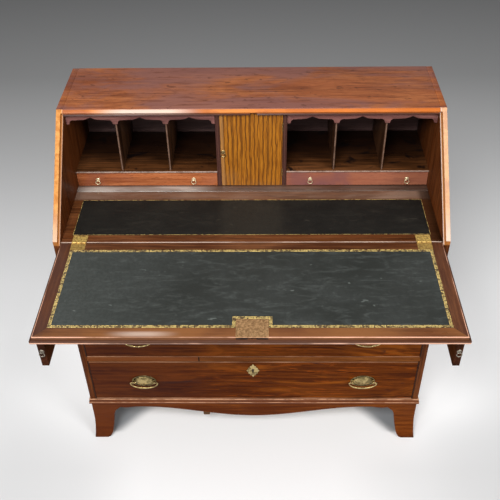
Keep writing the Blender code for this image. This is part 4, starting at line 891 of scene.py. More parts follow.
ease(piece("lock_edge_plate", edge_plate, iron, "fall", "brass"), 0.0002, 1)
eased("fall_lock_bolt", "lock_bolt", 0.0004, brass, "brass")


def repeated(name, pattern, places, turns, made_of, body, record_slot):
    """Copies a small mesh to many places with Geometry Nodes, each turned about its own axis."""
    made, sockets, given, add, close = tree(name, ("Pattern", "NodeSocketObject"),
                                            ("Finish", "NodeSocketMaterial"))
    source = add("GeometryNodeObjectInfo", links={"Object": given["Pattern"]})
    turn = add("GeometryNodeInputNamedAttribute", {"data_type": "FLOAT"}, {"Name": "turn"})
    spin = add("ShaderNodeCombineXYZ", links={"Z": turn.outputs[0]})
    spun = add("FunctionNodeEulerToRotation", links={0: spin.outputs[0]})
    copies = add("GeometryNodeInstanceOnPoints", links={"Points": given["Geometry"],
                                                        "Rotation": spun.outputs[0],
                                                        "Instance": source.outputs["Geometry"]})
    close(copies.outputs[0], given["Finish"])
    points = bpy.data.meshes.new(name + "_places")
    points.from_pydata([tuple(place) for place in places], [], [])
    points.attributes.new("turn", "FLOAT", "POINT").data.foreach_set("value", turns[:len(places)])
    template = bpy.data.objects.new(name + "_pattern", pattern)
    scene.collection.objects.link(template)
    mesh = grown(bpy.data.objects.new(name + "_places", points), made, sockets,
                 {"Pattern": template, "Finish": made_of})
    bpy.data.objects.remove(template, do_unlink=True)
    mesh.shade_smooth()
    mesh.set_sharp_from_angle(angle=radians(35))
    return piece(name, mesh, made_of, body, record_slot)


def turned(profile, steps, squeeze=1.0):
    """A mesh turned about Z from (radius, height) points that start and end on the axis."""
    return lofted([[(x, y, height) for x, y in arc((0, 0), (radius, radius * squeeze), 0, 2, steps)[:-1]]
                   if radius else [(0, 0, height)] for radius, height in profile])


def joined(*parts):
    """One smooth mesh of several, each alone or with the matrix that places it."""
    bm = bmesh.new()
    for part in parts:
        mesh, place = part if isinstance(part, tuple) else (part, Matrix.Identity(4))
        copy = mesh.copy()
        copy.transform(place)
        bm.from_mesh(copy)
        bpy.data.meshes.remove(copy)
    mesh = meshed(bm)
    mesh.shade_smooth()
    mesh.set_sharp_from_angle(angle=radians(38))
    return mesh


def screw_head(radius):
    """A countersunk head as two half discs beside a slot, over a floor."""
    slot, foot = radius * 0.16, -radius * 0.5
    start = asin(slot / radius) / pi
    parts = []
    for sign in (-1, 1):
        rim = arc((0, 0), (radius, sign * radius), start, 1 - start, 8)
        parts.append(lofted([[(x, y, foot) for x, y in rim],
                             [(x * 0.96, y * 0.96 + sign * slot * 0.04, 0.00014) for x, y in rim]]))
    floor = arc((0, 0), (radius * 0.9, radius * 0.9), 0, 2, 12)[:-1]
    return joined(*parts, prism(floor, foot, -radius * 0.22, "Z"))


lock_screws = [(lock_x + across, lock_high.y - down, lock_high.z + LOCK_RISE)
               for across in (-LOCK_SCREW_REACH, LOCK_SCREW_REACH) for down in (0.005, 0.040)]
repeated("lock_screws", screw_head(0.0026), lock_screws, [0.4, 1.1, 2.0, 2.6], plate_brass, "fall", "brass")

# Hinges of the fall
# Two brass butt hinges let into the desk and the fall, their knuckles standing in the joint, each
# leaf held by countersunk screws.
PIN_RADIUS, KNUCKLE_SPAN, TONGUE_HALF = 0.003, 0.0116, 0.0055
SCREW_HALF, SCREW_ROWS = 0.011, (0.0065, 0.0175)
HINGE_GOLD, HINGE_TARNISH, HINGE_SHADED = (0.92, 0.64, 0.18), (0.34, 0.19, 0.055), (0.30, 0.17, 0.055)
hinge_finish = Finish("hinge_brass", Metallic=0.6)
hinge_stain = hinge_finish.patches(190, 0.40, 0.64, 4, 0.65, 0.5)
hinge_tone = hinge_finish.blend(hinge_stain, HINGE_GOLD, HINGE_TARNISH)
on_desk = hinge_finish.band(hinge_finish.y, hinge_y - 0.004, hinge_y + 0.002)
hinge_tone = hinge_finish.blend(0.45 - 0.45 * on_desk, hinge_tone, HINGE_SHADED)
hinge_brass = hinge_finish.dress(hinge_tone, 0.30 + 0.2 * hinge_stain, hinge_stain, 0.0001)
ALONG_X = Matrix.Rotation(pi / 2, 4, "Y")


def rod(radius, length, sides=20):
    """A rod with rounded ends, upright from the origin."""
    tip = radius * 0.25
    return turned(((0, 0), (radius - tip, 0), (radius, tip), (radius, length - tip), (radius - tip, length),
                   (0, length)), sides)


for part, body, toward in (("desk_hinge", "case", 1), ("fall_hinge", "fall", -1)):
    leaf_screws = []
    for side in ("left", "right"):
        leaf_low, leaf_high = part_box(f"{part}_{side}")
        middle_x = (leaf_low.x + leaf_high.x) / 2
        far_y = leaf_high.y if toward == 1 else leaf_low.y
        near, far = sorted((hinge_y + toward * 0.0034, far_y))
        bits = [boxes(((leaf_low.x, near, desk_z - 0.002), (leaf_high.x, far, desk_z + 0.0001)))]
        near, far = sorted((hinge_y, hinge_y + toward * 0.0035))
        for x in (middle_x - 0.012, middle_x + 0.012) if toward == 1 else (middle_x,):
            bits.append(boxes(((x - TONGUE_HALF, near, desk_z - 0.0019), (x + TONGUE_HALF, far, desk_z))))
            bits.append((rod(PIN_RADIUS, KNUCKLE_SPAN),
                         Matrix.Translation((x - KNUCKLE_SPAN / 2, hinge_y, desk_z)) @ ALONG_X))
        piece(f"{part}_{side}_leaf", joined(*bits), hinge_brass, body, "brass", f"{part}_{side}")
        rows = [far_y - toward * row for row in SCREW_ROWS]
        leaf_screws += [(middle_x - SCREW_HALF, rows[0], desk_z), (middle_x + SCREW_HALF, rows[0], desk_z),
                        (middle_x, rows[1], desk_z)]
    repeated(part + "_screws", screw_head(0.0024), leaf_screws, [0.3, 1.4, 2.2, 0.9, 2.7, 1.8], hinge_brass,
             body, "brass")

# Lopers
# Two mahogany bearers beside the top drawer, pulled out to carry the fall, each with a small ring.
# Their wood is painted near black, standing for the shade they sit in.
LOPER_SHADE_TONES = ((0.022, 0.006, 0.002), (0.046, 0.012, 0.004), (0.085, 0.026, 0.008))
LUG_REACH, RING_RADIUS, RING_WIRE = 0.0045, 0.0058, 0.0008
EYE_RADIUS, EYE_WIRE = 0.0019, 0.00055
loper_wood = wood("loper_mahogany_shaded", "Y", LOPER_SHADE_TONES)
FACING_FRONT = Matrix(((1, 0, 0, 0), (0, 0, -1, 0), (0, 1, 0, 0), (0, 0, 0, 1)))
BRASS_GREY, BRASS_BROWN = (0.42, 0.38, 0.31), (0.16, 0.13, 0.10)
dull_finish = Finish("dull_brass", Metallic=0.9)
dulled = dull_finish.patches(300, 0.40, 0.62, distortion=0.0)
dull_brass = dull_finish.dress(dull_finish.blend(dulled, BRASS_GREY, BRASS_BROWN), 0.38 + 0.2 * dulled)


def hoop(radius, wire, steps=40, sides=10, swell=0.0):
    """A wire ring about Z, thicker by a share at its lowest point, -Y."""
    loops = []
    for x, y in arc((0, 0), (1, 1), 0, 2, steps)[:-1]:
        thick = wire * (1 + swell * (1 - y) / 2)
        loops.append([(x * reach, y * reach, z)
                      for reach, z in arc((radius, 0), (thick, thick), 0, 2, sides)[:-1]])
    return lofted(loops, around=True)


ROSETTE = ((0, -0.0004), (0.0054, -0.0004), (0.0055, 0.0003), (0.0050, 0.0008), (0.0040, 0.0009),
           (0.0034, 0.0013), (0.0022, 0.0017), (0.0013, 0.0022), (0.0012, 0.0030), (0.0009, 0.0034),
           (0, 0.0035))


def ring_pull(ring, body, place, metal):
    """A turned rosette with an eye, and the ring that hangs in it; place is on the wood."""
    eye = hoop(EYE_RADIUS, EYE_WIRE, 20, 8)
    mesh = joined(turned(ROSETTE, 24), (eye, Matrix.Translation((0, 0, LUG_REACH)) @ ALONG_X))
    mesh.transform(Matrix.Translation(place) @ FACING_FRONT)
    piece(ring + "_rosette", mesh, metal, body, "brass")
    hung = joined(hoop(RING_RADIUS, RING_WIRE, swell=0.35))
    hung.transform(Matrix.Translation(Vector(place) + Vector((0, -LUG_REACH, -RING_RADIUS))) @ FACING_FRONT)
    piece(ring + "_hoop", hung, metal, BODY_OF[ring], "brass", ring)


for side in ("left", "right"):
    loper, ring = "loper_" + side, "loper_ring_" + side
    low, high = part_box(loper)
    ring_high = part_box(ring)[1]
    face_y = ring_high.y + LUG_REACH - RING_WIRE
    ease(piece(loper + "_arm", boxes(((low.x, face_y, low.z), high)), loper_wood, loper, "mahogany", loper),
         0.0010)
    ring_pull(ring, loper, ((low.x + high.x) / 2, face_y, ring_high.z - RING_WIRE), dull_brass)

# Nest of pigeonholes
# Thin mahogany boards housed into each other: a rounded base with a painted highlight at the left,
# two reeded posts beside the cupboard, a floor over each letter drawer, painted darker towards the
# back as shade, and dividers whose front edges are rubbed pale.
RUBBED_PALE, STEP_HIGHLIGHT, STEP_HIGHLIGHT_LEFT = (0.36, 0.25, 0.20), (0.50, 0.44, 0.39), 0.30
VALANCE_TONES = ((0.150, 0.062, 0.055), (0.230, 0.095, 0.082), (0.300, 0.135, 0.115))
base_low, base_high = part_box("nest_base")
nest_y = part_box("cupboard_wall_left")[0].y
NEST_STEP_SHAPE = ((0.0, 0.0), (0.02, 0.35), (0.10, 0.62), (0.28, 0.80), (0.60, 0.93), (1.0, 1.0))
step_rise = base_high.z - base_low.z
step_outline = [(base_low.y + (nest_y - base_low.y) * back, base_low.z + step_rise * up)
                for back, up in NEST_STEP_SHAPE]
step_outline += [(base_high.y, base_high.z), (base_high.y, base_low.z)]
step_finish = Finish("nest_base_mahogany", gloss=0.55, **{"Coat Weight": 0.2, "Coat Roughness": 0.14})
step_grain = grain(step_finish, "X", INNER_TONES)
# A painted highlight on the rounded base, broadest left of the middle and strongest near its front.
step_breaks = step_finish.patches(24, 0.35, 0.65, stretch=(0.3, 1, 1), start=0.45)
step_highlight_spread = step_finish.band(abs(step_finish.x + STEP_HIGHLIGHT_LEFT), 0.10, 0.22, 0.9, 0.12)
step_highlight = step_highlight_spread * step_breaks * step_finish.band(step_finish.y, nest_y - 0.009, nest_y - 0.001, 1.0, 0.25)
step_finish.dress(step_finish.blend(step_highlight, step_grain[0], STEP_HIGHLIGHT), step_grain[1] * 0.8,
                  step_grain[2], 0.00008)
ease(piece("nest_base_nosed", prism(step_outline, base_low.x, base_high.x, "X"), step_finish.material, "case",
           "mahogany", "nest_base"), 0.0002, 1, 60)


def rubbed_edge(finish, low, high):
    """Where the front edge of a board, up to between two depths, is rubbed pale."""
    return finish.fade(finish.y, low, high) * finish.patches(60, 0.30, 0.60, start=0.45)


def edged(name, along, tones, edge_y, edge_tone):
    """Wood whose front edge, before edge_y, is rubbed to another tone."""
    finish = Finish(name, gloss=0.3)
    tone, roughness, height = grain(finish, along, tones)
    rubbed = rubbed_edge(finish, edge_y - 0.0006, edge_y + 0.0006)
    return finish.dress(finish.blend(rubbed, tone, edge_tone), roughness, height, 0.00008)


def nosed(low, high, across):
    """The outline of a board with a half-round front edge, on the axis across and on Y."""
    near, far = getattr(low, across), getattr(high, across)
    half = (far - near) / 2
    return arc((near + half, low.y + half), (-half, -half), 0, 1, 10) + [(far, high.y), (near, high.y)]


HOLE_TONES = ((0.022, 0.008, 0.003), (0.075, 0.026, 0.008), (0.190, 0.068, 0.020))
HOLE_SHADE, HOLE_STAIN = (0.007, 0.003, 0.002), (0.005, 0.003, 0.003)
DIVIDER_TONES, DIVIDER_EDGE = (INNER_TONES[0], (0.070, 0.030, 0.014), INNER_TONES[2]), (0.20, 0.12, 0.085)
POST_TONES = ((0.050, 0.020, 0.014), (0.110, 0.048, 0.034), (0.190, 0.085, 0.060))
POST_EDGE = (0.080, 0.030, 0.024)
REED_RADIUS, REED_SINK, REED_GROOVE = 0.0016, 0.0008, 0.0022
hole_finish = Finish("pigeonhole_floor", gloss=0.3)
hole_tone, hole_roughness, hole_height = grain(hole_finish, "X", HOLE_TONES, 1.4)
# Painted shade: the floors darken towards the back of each pigeonhole.
rearward_shade = hole_finish.band(hole_finish.y, nest_y + 0.010, nest_y + 0.115, 0.0, 0.88)
hole_tone = hole_finish.blend(rearward_shade, hole_tone, HOLE_SHADE)
spilt = hole_finish.noise(24, 3, 0.6, 0.8, hole_finish.stretched((0.7, 1, 1), (3.1, 0, 0)))
spilt = hole_finish.band(spilt, 0.58, 0.66)
hole_tone = hole_finish.blend(spilt * 0.9, hole_tone, HOLE_STAIN)
hole_tone = hole_finish.blend(rubbed_edge(hole_finish, nest_y + 0.0008, nest_y + 0.0022), hole_tone,
                              RUBBED_PALE)
floor_board = hole_finish.dress(hole_tone, hole_roughness, hole_height, 0.00008)
divider_edge_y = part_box("divider_inner_left")[0].y + 0.0008
divider_board = edged("pigeonhole_divider", "Z", DIVIDER_TONES, divider_edge_y, DIVIDER_EDGE)
post_board = edged("cupboard_post", "Z", POST_TONES, nest_y + 0.0008, POST_EDGE)
valance_wood = wood("valance_mahogany", "X", VALANCE_TONES, 0.8)
for side in ("left", "right"):
    nest_floor, post = "nest_floor_" + side, "cupboard_wall_" + side
    low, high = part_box(nest_floor)
    outline = [(y, z) for z, y in nosed(low, high, "z")]
    ease(piece(nest_floor + "_nosed", prism(outline, low.x, high.x, "X"), floor_board, "case", "mahogany",
               nest_floor), 0.0001, 1, 60)
    for place in ("inner", "outer"):
        divider = f"divider_{place}_{side}"
        low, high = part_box(divider)
        ease(piece(divider + "_nosed", prism(nosed(low, high, "x"), low.z, high.z, "Z"), divider_board,
                   "case", "dark_mahogany", divider), 0.0001, 1, 60)
    low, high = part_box(post)
    flat_left, flat_right = low.x + 2 * REED_RADIUS + 0.0004, high.x - 2 * REED_RADIUS - 0.0004
    left_reed, right_reed = (arc((x, low.y + REED_RADIUS), (-REED_RADIUS, -REED_RADIUS), 0, 1, 8)
                             for x in (low.x + REED_RADIUS, high.x - REED_RADIUS))
    flat = [(flat_left - 0.0002, low.y + REED_GROOVE), (flat_left, low.y + REED_SINK),
            (flat_right, low.y + REED_SINK), (flat_right + 0.0002, low.y + REED_GROOVE)]
    outline = left_reed + flat + right_reed + [(high.x, high.y), (low.x, high.y)]
    ease(piece(f"cupboard_post_{side}", prism(outline, low.z, high.z, "Z"), post_board, "case", "mahogany",
               post), 0.0001, 1, 60)
    eased("valance_" + side, f"valance_{side}_cut", 0.0005, valance_wood, steps=1)

# Cupboard door
# A small door of boldly striped yellow-brown wood, set upright between the posts, with two little
# butt hinges at its right edge and a ring at its left.
STRIPE_TONES, STRIPE_DARK = ((0.28, 0.090, 0.006), (0.48, 0.180, 0.014)), (0.085, 0.026, 0.005)
SCUFF_TONE, LIPPING_TONE, LIPPING_DARK = (0.30, 0.15, 0.05), (0.44, 0.22, 0.075), (0.06, 0.025, 0.01)
LIPPING_WIDTH = 0.0088
KNUCKLE_RADIUS, KNUCKLE_LENGTH, KNUCKLE_OUT = 0.0017, 0.0075, 0.0006
DOOR_HINGE_SHARES = (0.19, 0.81)
door_low, door_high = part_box("cupboard_door")
door_finish = Finish("striped_wood", **{"Coat Weight": 0.15, "Coat Roughness": 0.18})
wander = door_finish.noise(40, 3, 0.6, 0, door_finish.stretched((0.45, 1, 0.34)))
stripe_at = door_finish.x + 0.012 * wander
regular = door_finish.math("SINE", stripe_at * 560.0) + 0.6 * door_finish.math("SINE", stripe_at * 1390.0)
uneven = door_finish.noise(160, 2, 0.6, 0, door_finish.stretched((1, 1, 0.06)))
lines = door_finish.band(regular + uneven * 2.4, 1.3, 2.1)
fine = door_finish.noise(420, 2, 0.6, 0, door_finish.stretched((1, 1, 0.05)))
door_tone = door_finish.blend(door_finish.band(fine, 0.35, 0.65), *STRIPE_TONES)
scuffed = door_finish.patches(7, 0.55, 0.75, distortion=0.4)
lipping = door_finish.fade(door_finish.x, door_low.x + LIPPING_WIDTH - 0.0003,
                           door_low.x + LIPPING_WIDTH + 0.0002)
lipping_joint = door_finish.fade(abs(door_finish.x - door_low.x - LIPPING_WIDTH), 0.0002, 0.0006, 0.7)
for mask, tone in ((lines * 0.8, STRIPE_DARK), (scuffed * 0.4, SCUFF_TONE), (lipping * 0.55, LIPPING_TONE),
                   (lipping_joint, LIPPING_DARK)):
    door_tone = door_finish.blend(mask, door_tone, tone)
striped_wood = door_finish.dress(door_tone, 0.30 + 0.14 * scuffed, fine * 0.6 - lines * 0.3, PORE_DEPTH)
ease(piece("cupboard_door_board", boxes(((door_low.x, nest_y, door_low.z), door_high)), striped_wood,
           "cupboard_door", "striped_wood", "cupboard_door"), 0.0008)
knuckles = []
for share in DOOR_HINGE_SHARES:
    foot = door_low.z + share * (door_high.z - door_low.z) - 1.5 * KNUCKLE_LENGTH
    for count in range(3):
        knuckles.append((rod(KNUCKLE_RADIUS, KNUCKLE_LENGTH - 0.0002),
                         Matrix.Translation((door_high.x + KNUCKLE_OUT, nest_y,
                                             foot + count * KNUCKLE_LENGTH))))
    knuckles.append(boxes(((door_high.x - 0.0016, nest_y + 0.0006, foot),
                           (door_high.x + 0.0003, nest_y + 0.0100, foot + 3 * KNUCKLE_LENGTH))))
piece("cupboard_door_hinges", joined(*knuckles), brass, "cupboard_door", "brass")
ring_low, ring_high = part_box("door_ring")
ring_pull("door_ring", "cupboard_door", ((ring_low.x + ring_high.x) / 2, nest_y, ring_high.z - RING_WIRE),
          brass)

# Letter drawers
# Two shallow drawers under the pigeonholes: orange-brown mahogany fronts on thin pale boxes, with
# two little rings each.
LETTER_FRONT_DEPTH, LETTER_WALL, LETTER_FLOOR = 0.009, 0.005, 0.003
LETTER_FADED = (0.225, 0.088, 0.078)
LETTER_TONES = ((0.240, 0.062, 0.020), (0.420, 0.125, 0.042), (0.560, 0.200, 0.080))
letter_finish = Finish("letter_drawer_mahogany", WAX_GLOSS)
letter_grain = grain(letter_finish, "X", LETTER_TONES, 1.3)
letter_fade = letter_finish.patches(6, 0.42, 0.66, distortion=0.6)
letter_fade = letter_fade * letter_finish.band(letter_finish.x, -0.3, 0.2, 0.25, 0.6)
letter_fade = letter_fade + letter_finish.band(letter_finish.x, 0.05, 0.12, 0.0, 0.50)
letter_wood = letter_finish.dress(letter_finish.blend(letter_fade, letter_grain[0], LETTER_FADED),
                                  letter_grain[1], letter_grain[2], 0.0001)
TUB_TONES = ((0.200, 0.110, 0.050), (0.360, 0.220, 0.110), (0.480, 0.320, 0.175))
tub_side_wood = wood("drawer_side_oak", "Y", TUB_TONES, 0.8)
tub_wood = wood("drawer_bottom_oak", "X", TUB_TONES, 0.8)


def drawer_tub(drawer, low, high, side, back, floor):
    """The box behind a drawer's front: two sides, and a back and a bottom between them."""
    hair = 0.0001
    left, right, top = low[0] + side, high[0] - side, high[2] - 2 * hair
    sides = boxes((low, (left, high[1], high[2])), ((right, low[1], low[2]), high))
    rest = boxes(((left + hair, high[1] - back, low[2] + floor + hair), (right - hair, high[1], top)),
                 ((left + hair, low[1], low[2] + 2 * hair),
                  (right - hair, high[1] - 2 * hair, low[2] + floor)))
    ease(piece(drawer + "_tub_sides", sides, tub_side_wood, drawer, "pine"), min(0.0012, side / 4))
    ease(piece(drawer + "_tub_back_and_bottom", rest, tub_wood, drawer, "pine"), 0.0004, 1)


BRASS_PALE, BRASS_SPOT = (1.0, 0.86, 0.56), (0.52, 0.38, 0.20)
pale_finish = Finish("pale_brass", Metallic=0.6, Roughness=0.30)
pale_spot = pale_finish.patches(500, 0.45, 0.65, distortion=0.0)
pale_brass = pale_finish.dress(pale_finish.blend(pale_spot, BRASS_PALE, BRASS_SPOT))
for side in ("left", "right"):
    name = "letter_drawer_" + side
    low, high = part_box(name)
    letter_back = nest_y + LETTER_FRONT_DEPTH
    front = boxes(((low.x, nest_y, low.z + 0.0003), (high.x, letter_back, high.z)))
    ease(piece(name + "_front", front, letter_wood, name, "dark_mahogany", name), 0.0007)
    drawer_tub(name, (low.x + 0.0003, letter_back + 0.0001, low.z),
               (high.x - 0.0003, high.y, high.z - LETTER_FLOOR), LETTER_WALL, LETTER_WALL, LETTER_FLOOR)
    for place in ("inner", "outer"):
        ring = f"letter_ring_{place}_{side}"
        ring_low, ring_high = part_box(ring)
        ring_pull(ring, name, ((ring_low.x + ring_high.x) / 2, nest_y, ring_high.z - RING_WIRE), pale_brass)

# Long drawers
# Mahogany fronts with a cockbead planted round each, dovetailed to oak boxes, and a brass lock let
# into the top edge. The wood is darker at the left and streaked with orange at the right. The upright
# runs of the cockbead are painted dark as shade, and a dark iron sheet behind each keyhole stands for
# the shade in the hole.
DRAWER_FRONT_DEPTH, DRAWER_SIDE, DRAWER_BACK, DRAWER_FLOOR, SIDE_DROP = 0.018, 0.010, 0.009, 0.006, 0.008
COCKBEAD, COCKBEAD_DEPTH = 0.003, 0.010
DOVETAIL_PITCH, TAIL_HALF, TAIL_NECK_HALF = 0.030, 0.0115, 0.0080
PLATE_HALF, POST_FROM_MIDDLE = (0.035, 0.0230), 0.0302
BAIL_AXIS_REACH, BAIL_HALF, BAIL_DROP, BAIL_WIRE = 0.0075, 0.0395, 0.0235, 0.0017
HANDLE_RISES = {"drawer_bottom": -0.002, "drawer_lower": 0.0025}
KEYPLATE_HALF, KEYPLATE_LOBES, KEYPLATE_DROP = (0.0166, 0.0250), 0.075, 0.037
KEYHOLE_RADIUS, KEYHOLE_FOOT, KEYHOLE_SHADE_HALF = 0.0042, (0.0028, -0.0090), (0.0052, 0.0095)
LOCK_FACE_HALF, LOCK_CASE_HALF, LOCK_CASE_DROP = 0.028, 0.024, 0.044
FRONT_TONES = ((0.040, 0.007, 0.001), (0.088, 0.017, 0.001), (0.165, 0.040, 0.004))
FLAME, STREAK, INK_STAIN = (0.280, 0.074, 0.006), (0.270, 0.058, 0.004), (0.026, 0.011, 0.010)
FRONT_LEFT, FRONT_BACK = (0.040, 0.012, 0.010), (0.16, 0.07, 0.03)
BEAD_TONES = ((0.100, 0.034, 0.012), (0.260, 0.105, 0.045), (0.480, 0.250, 0.140))
BEAD_UPRIGHT_SHADE = (0.028, 0.007, 0.002)
front_back = front_y + DRAWER_FRONT_DEPTH
front_finish = Finish("drawer_front_mahogany", WAX_GLOSS)
front_tone, front_roughness, front_height = grain(front_finish, "X", FRONT_TONES, 0.85)
to_right = front_finish.band(front_finish.x, -0.30, 0.15)
flame = front_finish.patches(11, 0.50, 0.72, 4, distortion=1.4, stretch=(0.28, 1, 1.3))
streak = front_finish.patches(105, 0.54, 0.68, distortion=0.9, stretch=(0.11, 1, 1))
stained = front_finish.patches(16, 0.62, 0.72, distortion=1.0, stretch=(0.4, 1, 1))
dim_side = front_finish.fade(front_finish.x, -0.40, 0.0, 0.42)
at_back = front_finish.band(front_finish.y, front_back - 0.0006, front_back - 0.0002)
for mask, tone in ((flame * (0.15 + 0.75 * to_right), FLAME), (streak * (0.15 + 0.50 * to_right), STREAK),
                   (stained * 0.80, INK_STAIN), (dim_side, FRONT_LEFT), (at_back * 0.8, FRONT_BACK)):
    front_tone = front_finish.blend(mask, front_tone, tone)
front_wood = front_finish.dress(front_tone, front_roughness, front_height, PORE_DEPTH)
bead_finish = Finish("cockbead_mahogany", gloss=0.12)
bead_tone, bead_roughness, bead_height = grain(bead_finish, "X", BEAD_TONES, 1.5)
# Painted shade on the upright runs of the cockbead.
upright = bead_finish.band(abs(bead_finish.x), in_x - 0.0045, in_x - 0.0038)
bead_wood = bead_finish.dress(bead_finish.blend(upright, bead_tone, BEAD_UPRIGHT_SHADE), bead_roughness,
                              bead_height, 0.0001)
HANDLE_BRIGHT, HANDLE_CLOUDED, TROUGH_DARK = (0.50, 0.38, 0.17), (0.22, 0.165, 0.07), (0.045, 0.030, 0.012)
handle_finish = Finish("handle_plate_brass", Metallic=1.0)
cloudy = handle_finish.noise(60, 3, 0.6, 0.4)
in_trough = handle_finish.band(handle_finish.y, front_y - 0.0012, front_y - 0.0008)
handle_tone = handle_finish.blend(handle_finish.band(cloudy, 0.42, 0.58), HANDLE_BRIGHT, HANDLE_CLOUDED)
handle_tone = handle_finish.blend(in_trough * 0.8, handle_tone, TROUGH_DARK)
handle_brass = handle_finish.dress(handle_tone, 0.20 + 0.16 * cloudy)
PLATE_SHAPE = ((0.0, -0.0012), (0.985, -0.0012), (1.0, -0.0006), (1.0, 0.0005), (0.985, 0.0011),
               (0.955, 0.0014), (0.925, 0.0011), (0.905, 0.0006), (0.880, 0.0005), (0.780, 0.0007),
               (0.750, 0.0011), (0.730, 0.0018), (0.700, 0.0023), (0.620, 0.0028), (0.480, 0.0033),
               (0.300, 0.0036), (0.140, 0.0037), (0.0, 0.0037))
POST_SHAPE = ((0.0, -0.0010), (0.0046, -0.0010), (0.0047, 0.0012), (0.0042, 0.0018), (0.0030, 0.0024),
              (0.0027, 0.0034), (0.0031, 0.0048), (0.0038, 0.0060), (0.0040, 0.0075), (0.0038, 0.0090),
              (0.0028, 0.0103), (0.0014, 0.0109), (0.0, 0.0110))


def tube(points, radii, sides=12):
    """A round wire of changing thickness along points (across, up) in a plane."""
    loops = []
    for (across, up), radius, before, after in zip(points, radii, points[:1] + points,
                                                   points[1:] + points[-1:]):
        run = Vector((after[0] - before[0], after[1] - before[1])).normalized()
        loops.append([(across - run.y * out, up + run.x * out, z)
                      for out, z in arc((0, 0), (radius, radius), 0, 2, sides)[:-1]])
    return lofted(loops)


bail_points = [(-0.0245, 0.0), (-0.0270, 0.0), (-0.0330, 0.0), (-0.0365, 0.0)]
bail_points += [(-BAIL_HALF * cos(pi * step / 44), -BAIL_DROP * sin(pi * step / 44) ** 0.92)
                for step in range(1, 44)]
bail_points += [(-across, up) for across, up in reversed(bail_points[:4])]
bail_radii = [BAIL_WIRE * (1 + 0.34 * (-up / BAIL_DROP) ** 3) for across, up in bail_points]


def keyplate(centre_z):
    """A flat diamond with lobed sides and a keyhole, as a mesh in front of the drawers' plane."""
    curve = bpy.data.curves.new("keyplate", "CURVE")
    curve.dimensions = "2D"
    curve.fill_mode = "BOTH"
    curve.extrude = 0.0005
    curve.bevel_depth = 0.0003
    curve.bevel_resolution = 1
    outline = []
    for across, up in arc((0, 0), (1, 1), 0, 2, 96)[:-1]:
        diamond = 1 / (abs(across) ** 1.25 + abs(up) ** 1.25) ** 0.8
        lobed = diamond * (1 + KEYPLATE_LOBES * cos(12 * atan2(up, across)))
        outline.append((KEYPLATE_HALF[0] * lobed * across, KEYPLATE_HALF[1] * lobed * up))
    keyhole = arc((0, 0.0030), (KEYHOLE_RADIUS, KEYHOLE_RADIUS), 0.5, -0.30, 6) + [KEYHOLE_FOOT]
    keyhole += [(-across, up) for across, up in reversed(keyhole[1:])]
    for points in (outline, keyhole):
        spline = curve.splines.new("POLY")
        spline.points.add(len(points) - 1)
        for point, (across, up) in zip(spline.points, points):
            point.co = (across, up, 0, 1)
        spline.use_cyclic_u = True
    holder = bpy.data.objects.new("keyplate", curve)
    scene.collection.objects.link(holder)
    bm = bmesh.new()
    bm.from_mesh(bpy.data.meshes.new_from_object(holder.evaluated_get(bpy.context.evaluated_depsgraph_get())))
    bpy.data.objects.remove(holder, do_unlink=True)
    bmesh.ops.remove_doubles(bm, verts=bm.verts, dist=0.00001)
    return meshed(bm, outwards=True), Matrix.Translation((0, front_y - 0.0008, centre_z)) @ FACING_FRONT


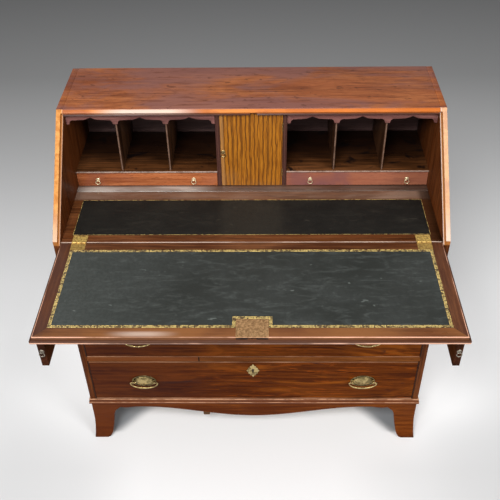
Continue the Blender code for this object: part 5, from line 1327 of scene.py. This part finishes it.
for name in ("drawer_bottom", "drawer_lower", "drawer_upper", "drawer_top"):
    front_node = "drawer_top_front" if name == "drawer_top" else name
    foot_z, back_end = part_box(name)[0].z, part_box(name)[1].y
    half, low_z, high_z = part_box(front_node)[1].x, foot_z + 0.0003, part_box(front_node)[1].z
    inset = COCKBEAD - 0.0003
    board = boxes(((-half + inset, front_y, low_z + inset),
                   (half - inset, front_back - 0.004, high_z - inset)),
                  ((-half + 0.0004, front_y + COCKBEAD_DEPTH, low_z + 0.0003),
                   (half - 0.0004, front_back, high_z - 0.0003)))
    ease(piece(name + "_board", board, front_wood, name, "mahogany", front_node), 0.0002, 1)
    bead_section = [(0, -COCKBEAD_DEPTH + 0.0002),
                    *arc((-COCKBEAD / 2, 0.0005), (COCKBEAD / 2, COCKBEAD / 2), 0, 1, 8),
                    (-COCKBEAD, -COCKBEAD_DEPTH + 0.0002)]
    bead_path = [(-half, low_z, -front_y), (half, low_z, -front_y), (half, high_z, -front_y),
                 (-half, high_z, -front_y)]
    bead = swept(bead_section, bead_path, closed=True)
    bead.transform(FACING_FRONT)
    ease(piece(name + "_cockbead", bead, bead_wood, name, "mahogany"), 0.0001, 1, 60)
    drawer_tub(name, (-half + 0.0003, front_back + 0.0001, foot_z),
               (half - 0.0003, back_end, high_z - SIDE_DROP), DRAWER_SIDE, DRAWER_BACK, DRAWER_FLOOR)
    tails = []
    for count in range(int((high_z - foot_z - 0.012) / DOVETAIL_PITCH)):
        tail_z = foot_z + 0.006 + DOVETAIL_PITCH * (count + 0.5)
        outline = [(y, tail_z + sign * tall) for y, sign, tall in
                   ((front_y + 0.005, -1, TAIL_HALF), (front_y + 0.005, 1, TAIL_HALF),
                    (front_back + 0.0001, 1, TAIL_NECK_HALF), (front_back + 0.0001, -1, TAIL_NECK_HALF))]
        tails += [prism(outline, *sorted((sign * (half - 0.0012), sign * (half + 0.00015))), "X")
                  for sign in (-1, 1)]
    piece(name + "_dovetails", joined(*tails), tub_side_wood, name, "pine")
    if name == "drawer_top":
        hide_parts(name)
    keyhole_z = high_z - KEYPLATE_DROP
    piece(name + "_keyplate", joined(keyplate(keyhole_z)), handle_brass, name, "brass")
    # A dark iron sheet behind each keyhole, standing for the shade in the hole.
    keyhole_shade = boxes(((-KEYHOLE_SHADE_HALF[0], front_y - 0.0004, keyhole_z - 0.001 - KEYHOLE_SHADE_HALF[1]),
                      (KEYHOLE_SHADE_HALF[0], front_y + 0.0004, keyhole_z - 0.001 + KEYHOLE_SHADE_HALF[1])))
    piece(name + "_keyhole", keyhole_shade, iron, name, "brass")
    lock_bits = boxes(((-LOCK_FACE_HALF, front_back - 0.0095, high_z - 0.0010),
                       (LOCK_FACE_HALF, front_back + 0.0004, high_z + 0.0002)),
                      ((-LOCK_CASE_HALF, front_back - 0.001, high_z - LOCK_CASE_DROP),
                       (LOCK_CASE_HALF, front_back + 0.0012, high_z - 0.0012)))
    ease(piece(name + "_lock", lock_bits, brass, name, "brass"), 0.0003, 1)
    middle_z = (low_z + high_z) / 2 + HANDLE_RISES.get(name, 0)
    for side in ("left", "right"):
        bail = f"{name}_{side}_bail"
        bail_low, bail_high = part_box(bail)
        on_front = Matrix.Translation(((bail_low.x + bail_high.x) / 2, front_y, middle_z)) @ FACING_FRONT
        plate = turned([(radius * PLATE_HALF[0], up) for radius, up in PLATE_SHAPE], 64,
                       PLATE_HALF[1] / PLATE_HALF[0])
        posts = [(turned(POST_SHAPE, 24), on_front @ Matrix.Translation((end * POST_FROM_MIDDLE, 0, 0)))
                 for end in (-1, 1)]
        piece(f"{name}_{side}_plate", joined((plate, on_front), *posts), handle_brass, name, "brass")
        cast = joined((tube(bail_points, bail_radii), on_front @ Matrix.Translation((0, 0, BAIL_AXIS_REACH))))
        piece(bail + "_cast", cast, brass, BODY_OF[bail], "brass", bail)

# Glue blocks
# Rough pine blocks rubbed into the corners behind the aprons and feet. One behind the apron, left of
# the middle, hangs low enough to show.
BLOCK_TONES = ((0.070, 0.034, 0.016), (0.130, 0.068, 0.034), (0.200, 0.115, 0.060))
BLOCK, BLOCK_GAP, BLOCK_LENGTH, BLOCK_HEIGHT = 0.024, 0.0006, 0.055, 0.020
LOW_BLOCK = ((-0.1540, 0.0185, 0.067), (-0.1340, 0.0400))
block_top, block_y = base_z - 0.0004, front_y + BASE_THICKNESS + BLOCK_GAP
blocks = [((x, block_y, block_top - BLOCK_HEIGHT),
           (x + BLOCK_LENGTH, front_y + BASE_THICKNESS + 0.020, block_top))
          for x in (-0.33, -0.03, 0.13, 0.29)]
low_block = [Vector((0, front_y, 0)) + Vector(corner)
             for corner in (LOW_BLOCK[0], (*LOW_BLOCK[1], block_top))]
corner_x = out_x - BASE_THICKNESS - BLOCK_GAP
for sign in (-1, 1):
    for y in (block_y, back_y - BLOCK - 0.004):
        left, right = sorted((sign * corner_x, sign * (corner_x - BLOCK)))
        blocks.append(((left, y, base_z * 0.30), (right, y + BLOCK, block_top)))
ease(piece("glue_blocks", boxes(*blocks, low_block), wood("glue_block_pine", "X", BLOCK_TONES), "case",
           "pine"), 0.003, 2)
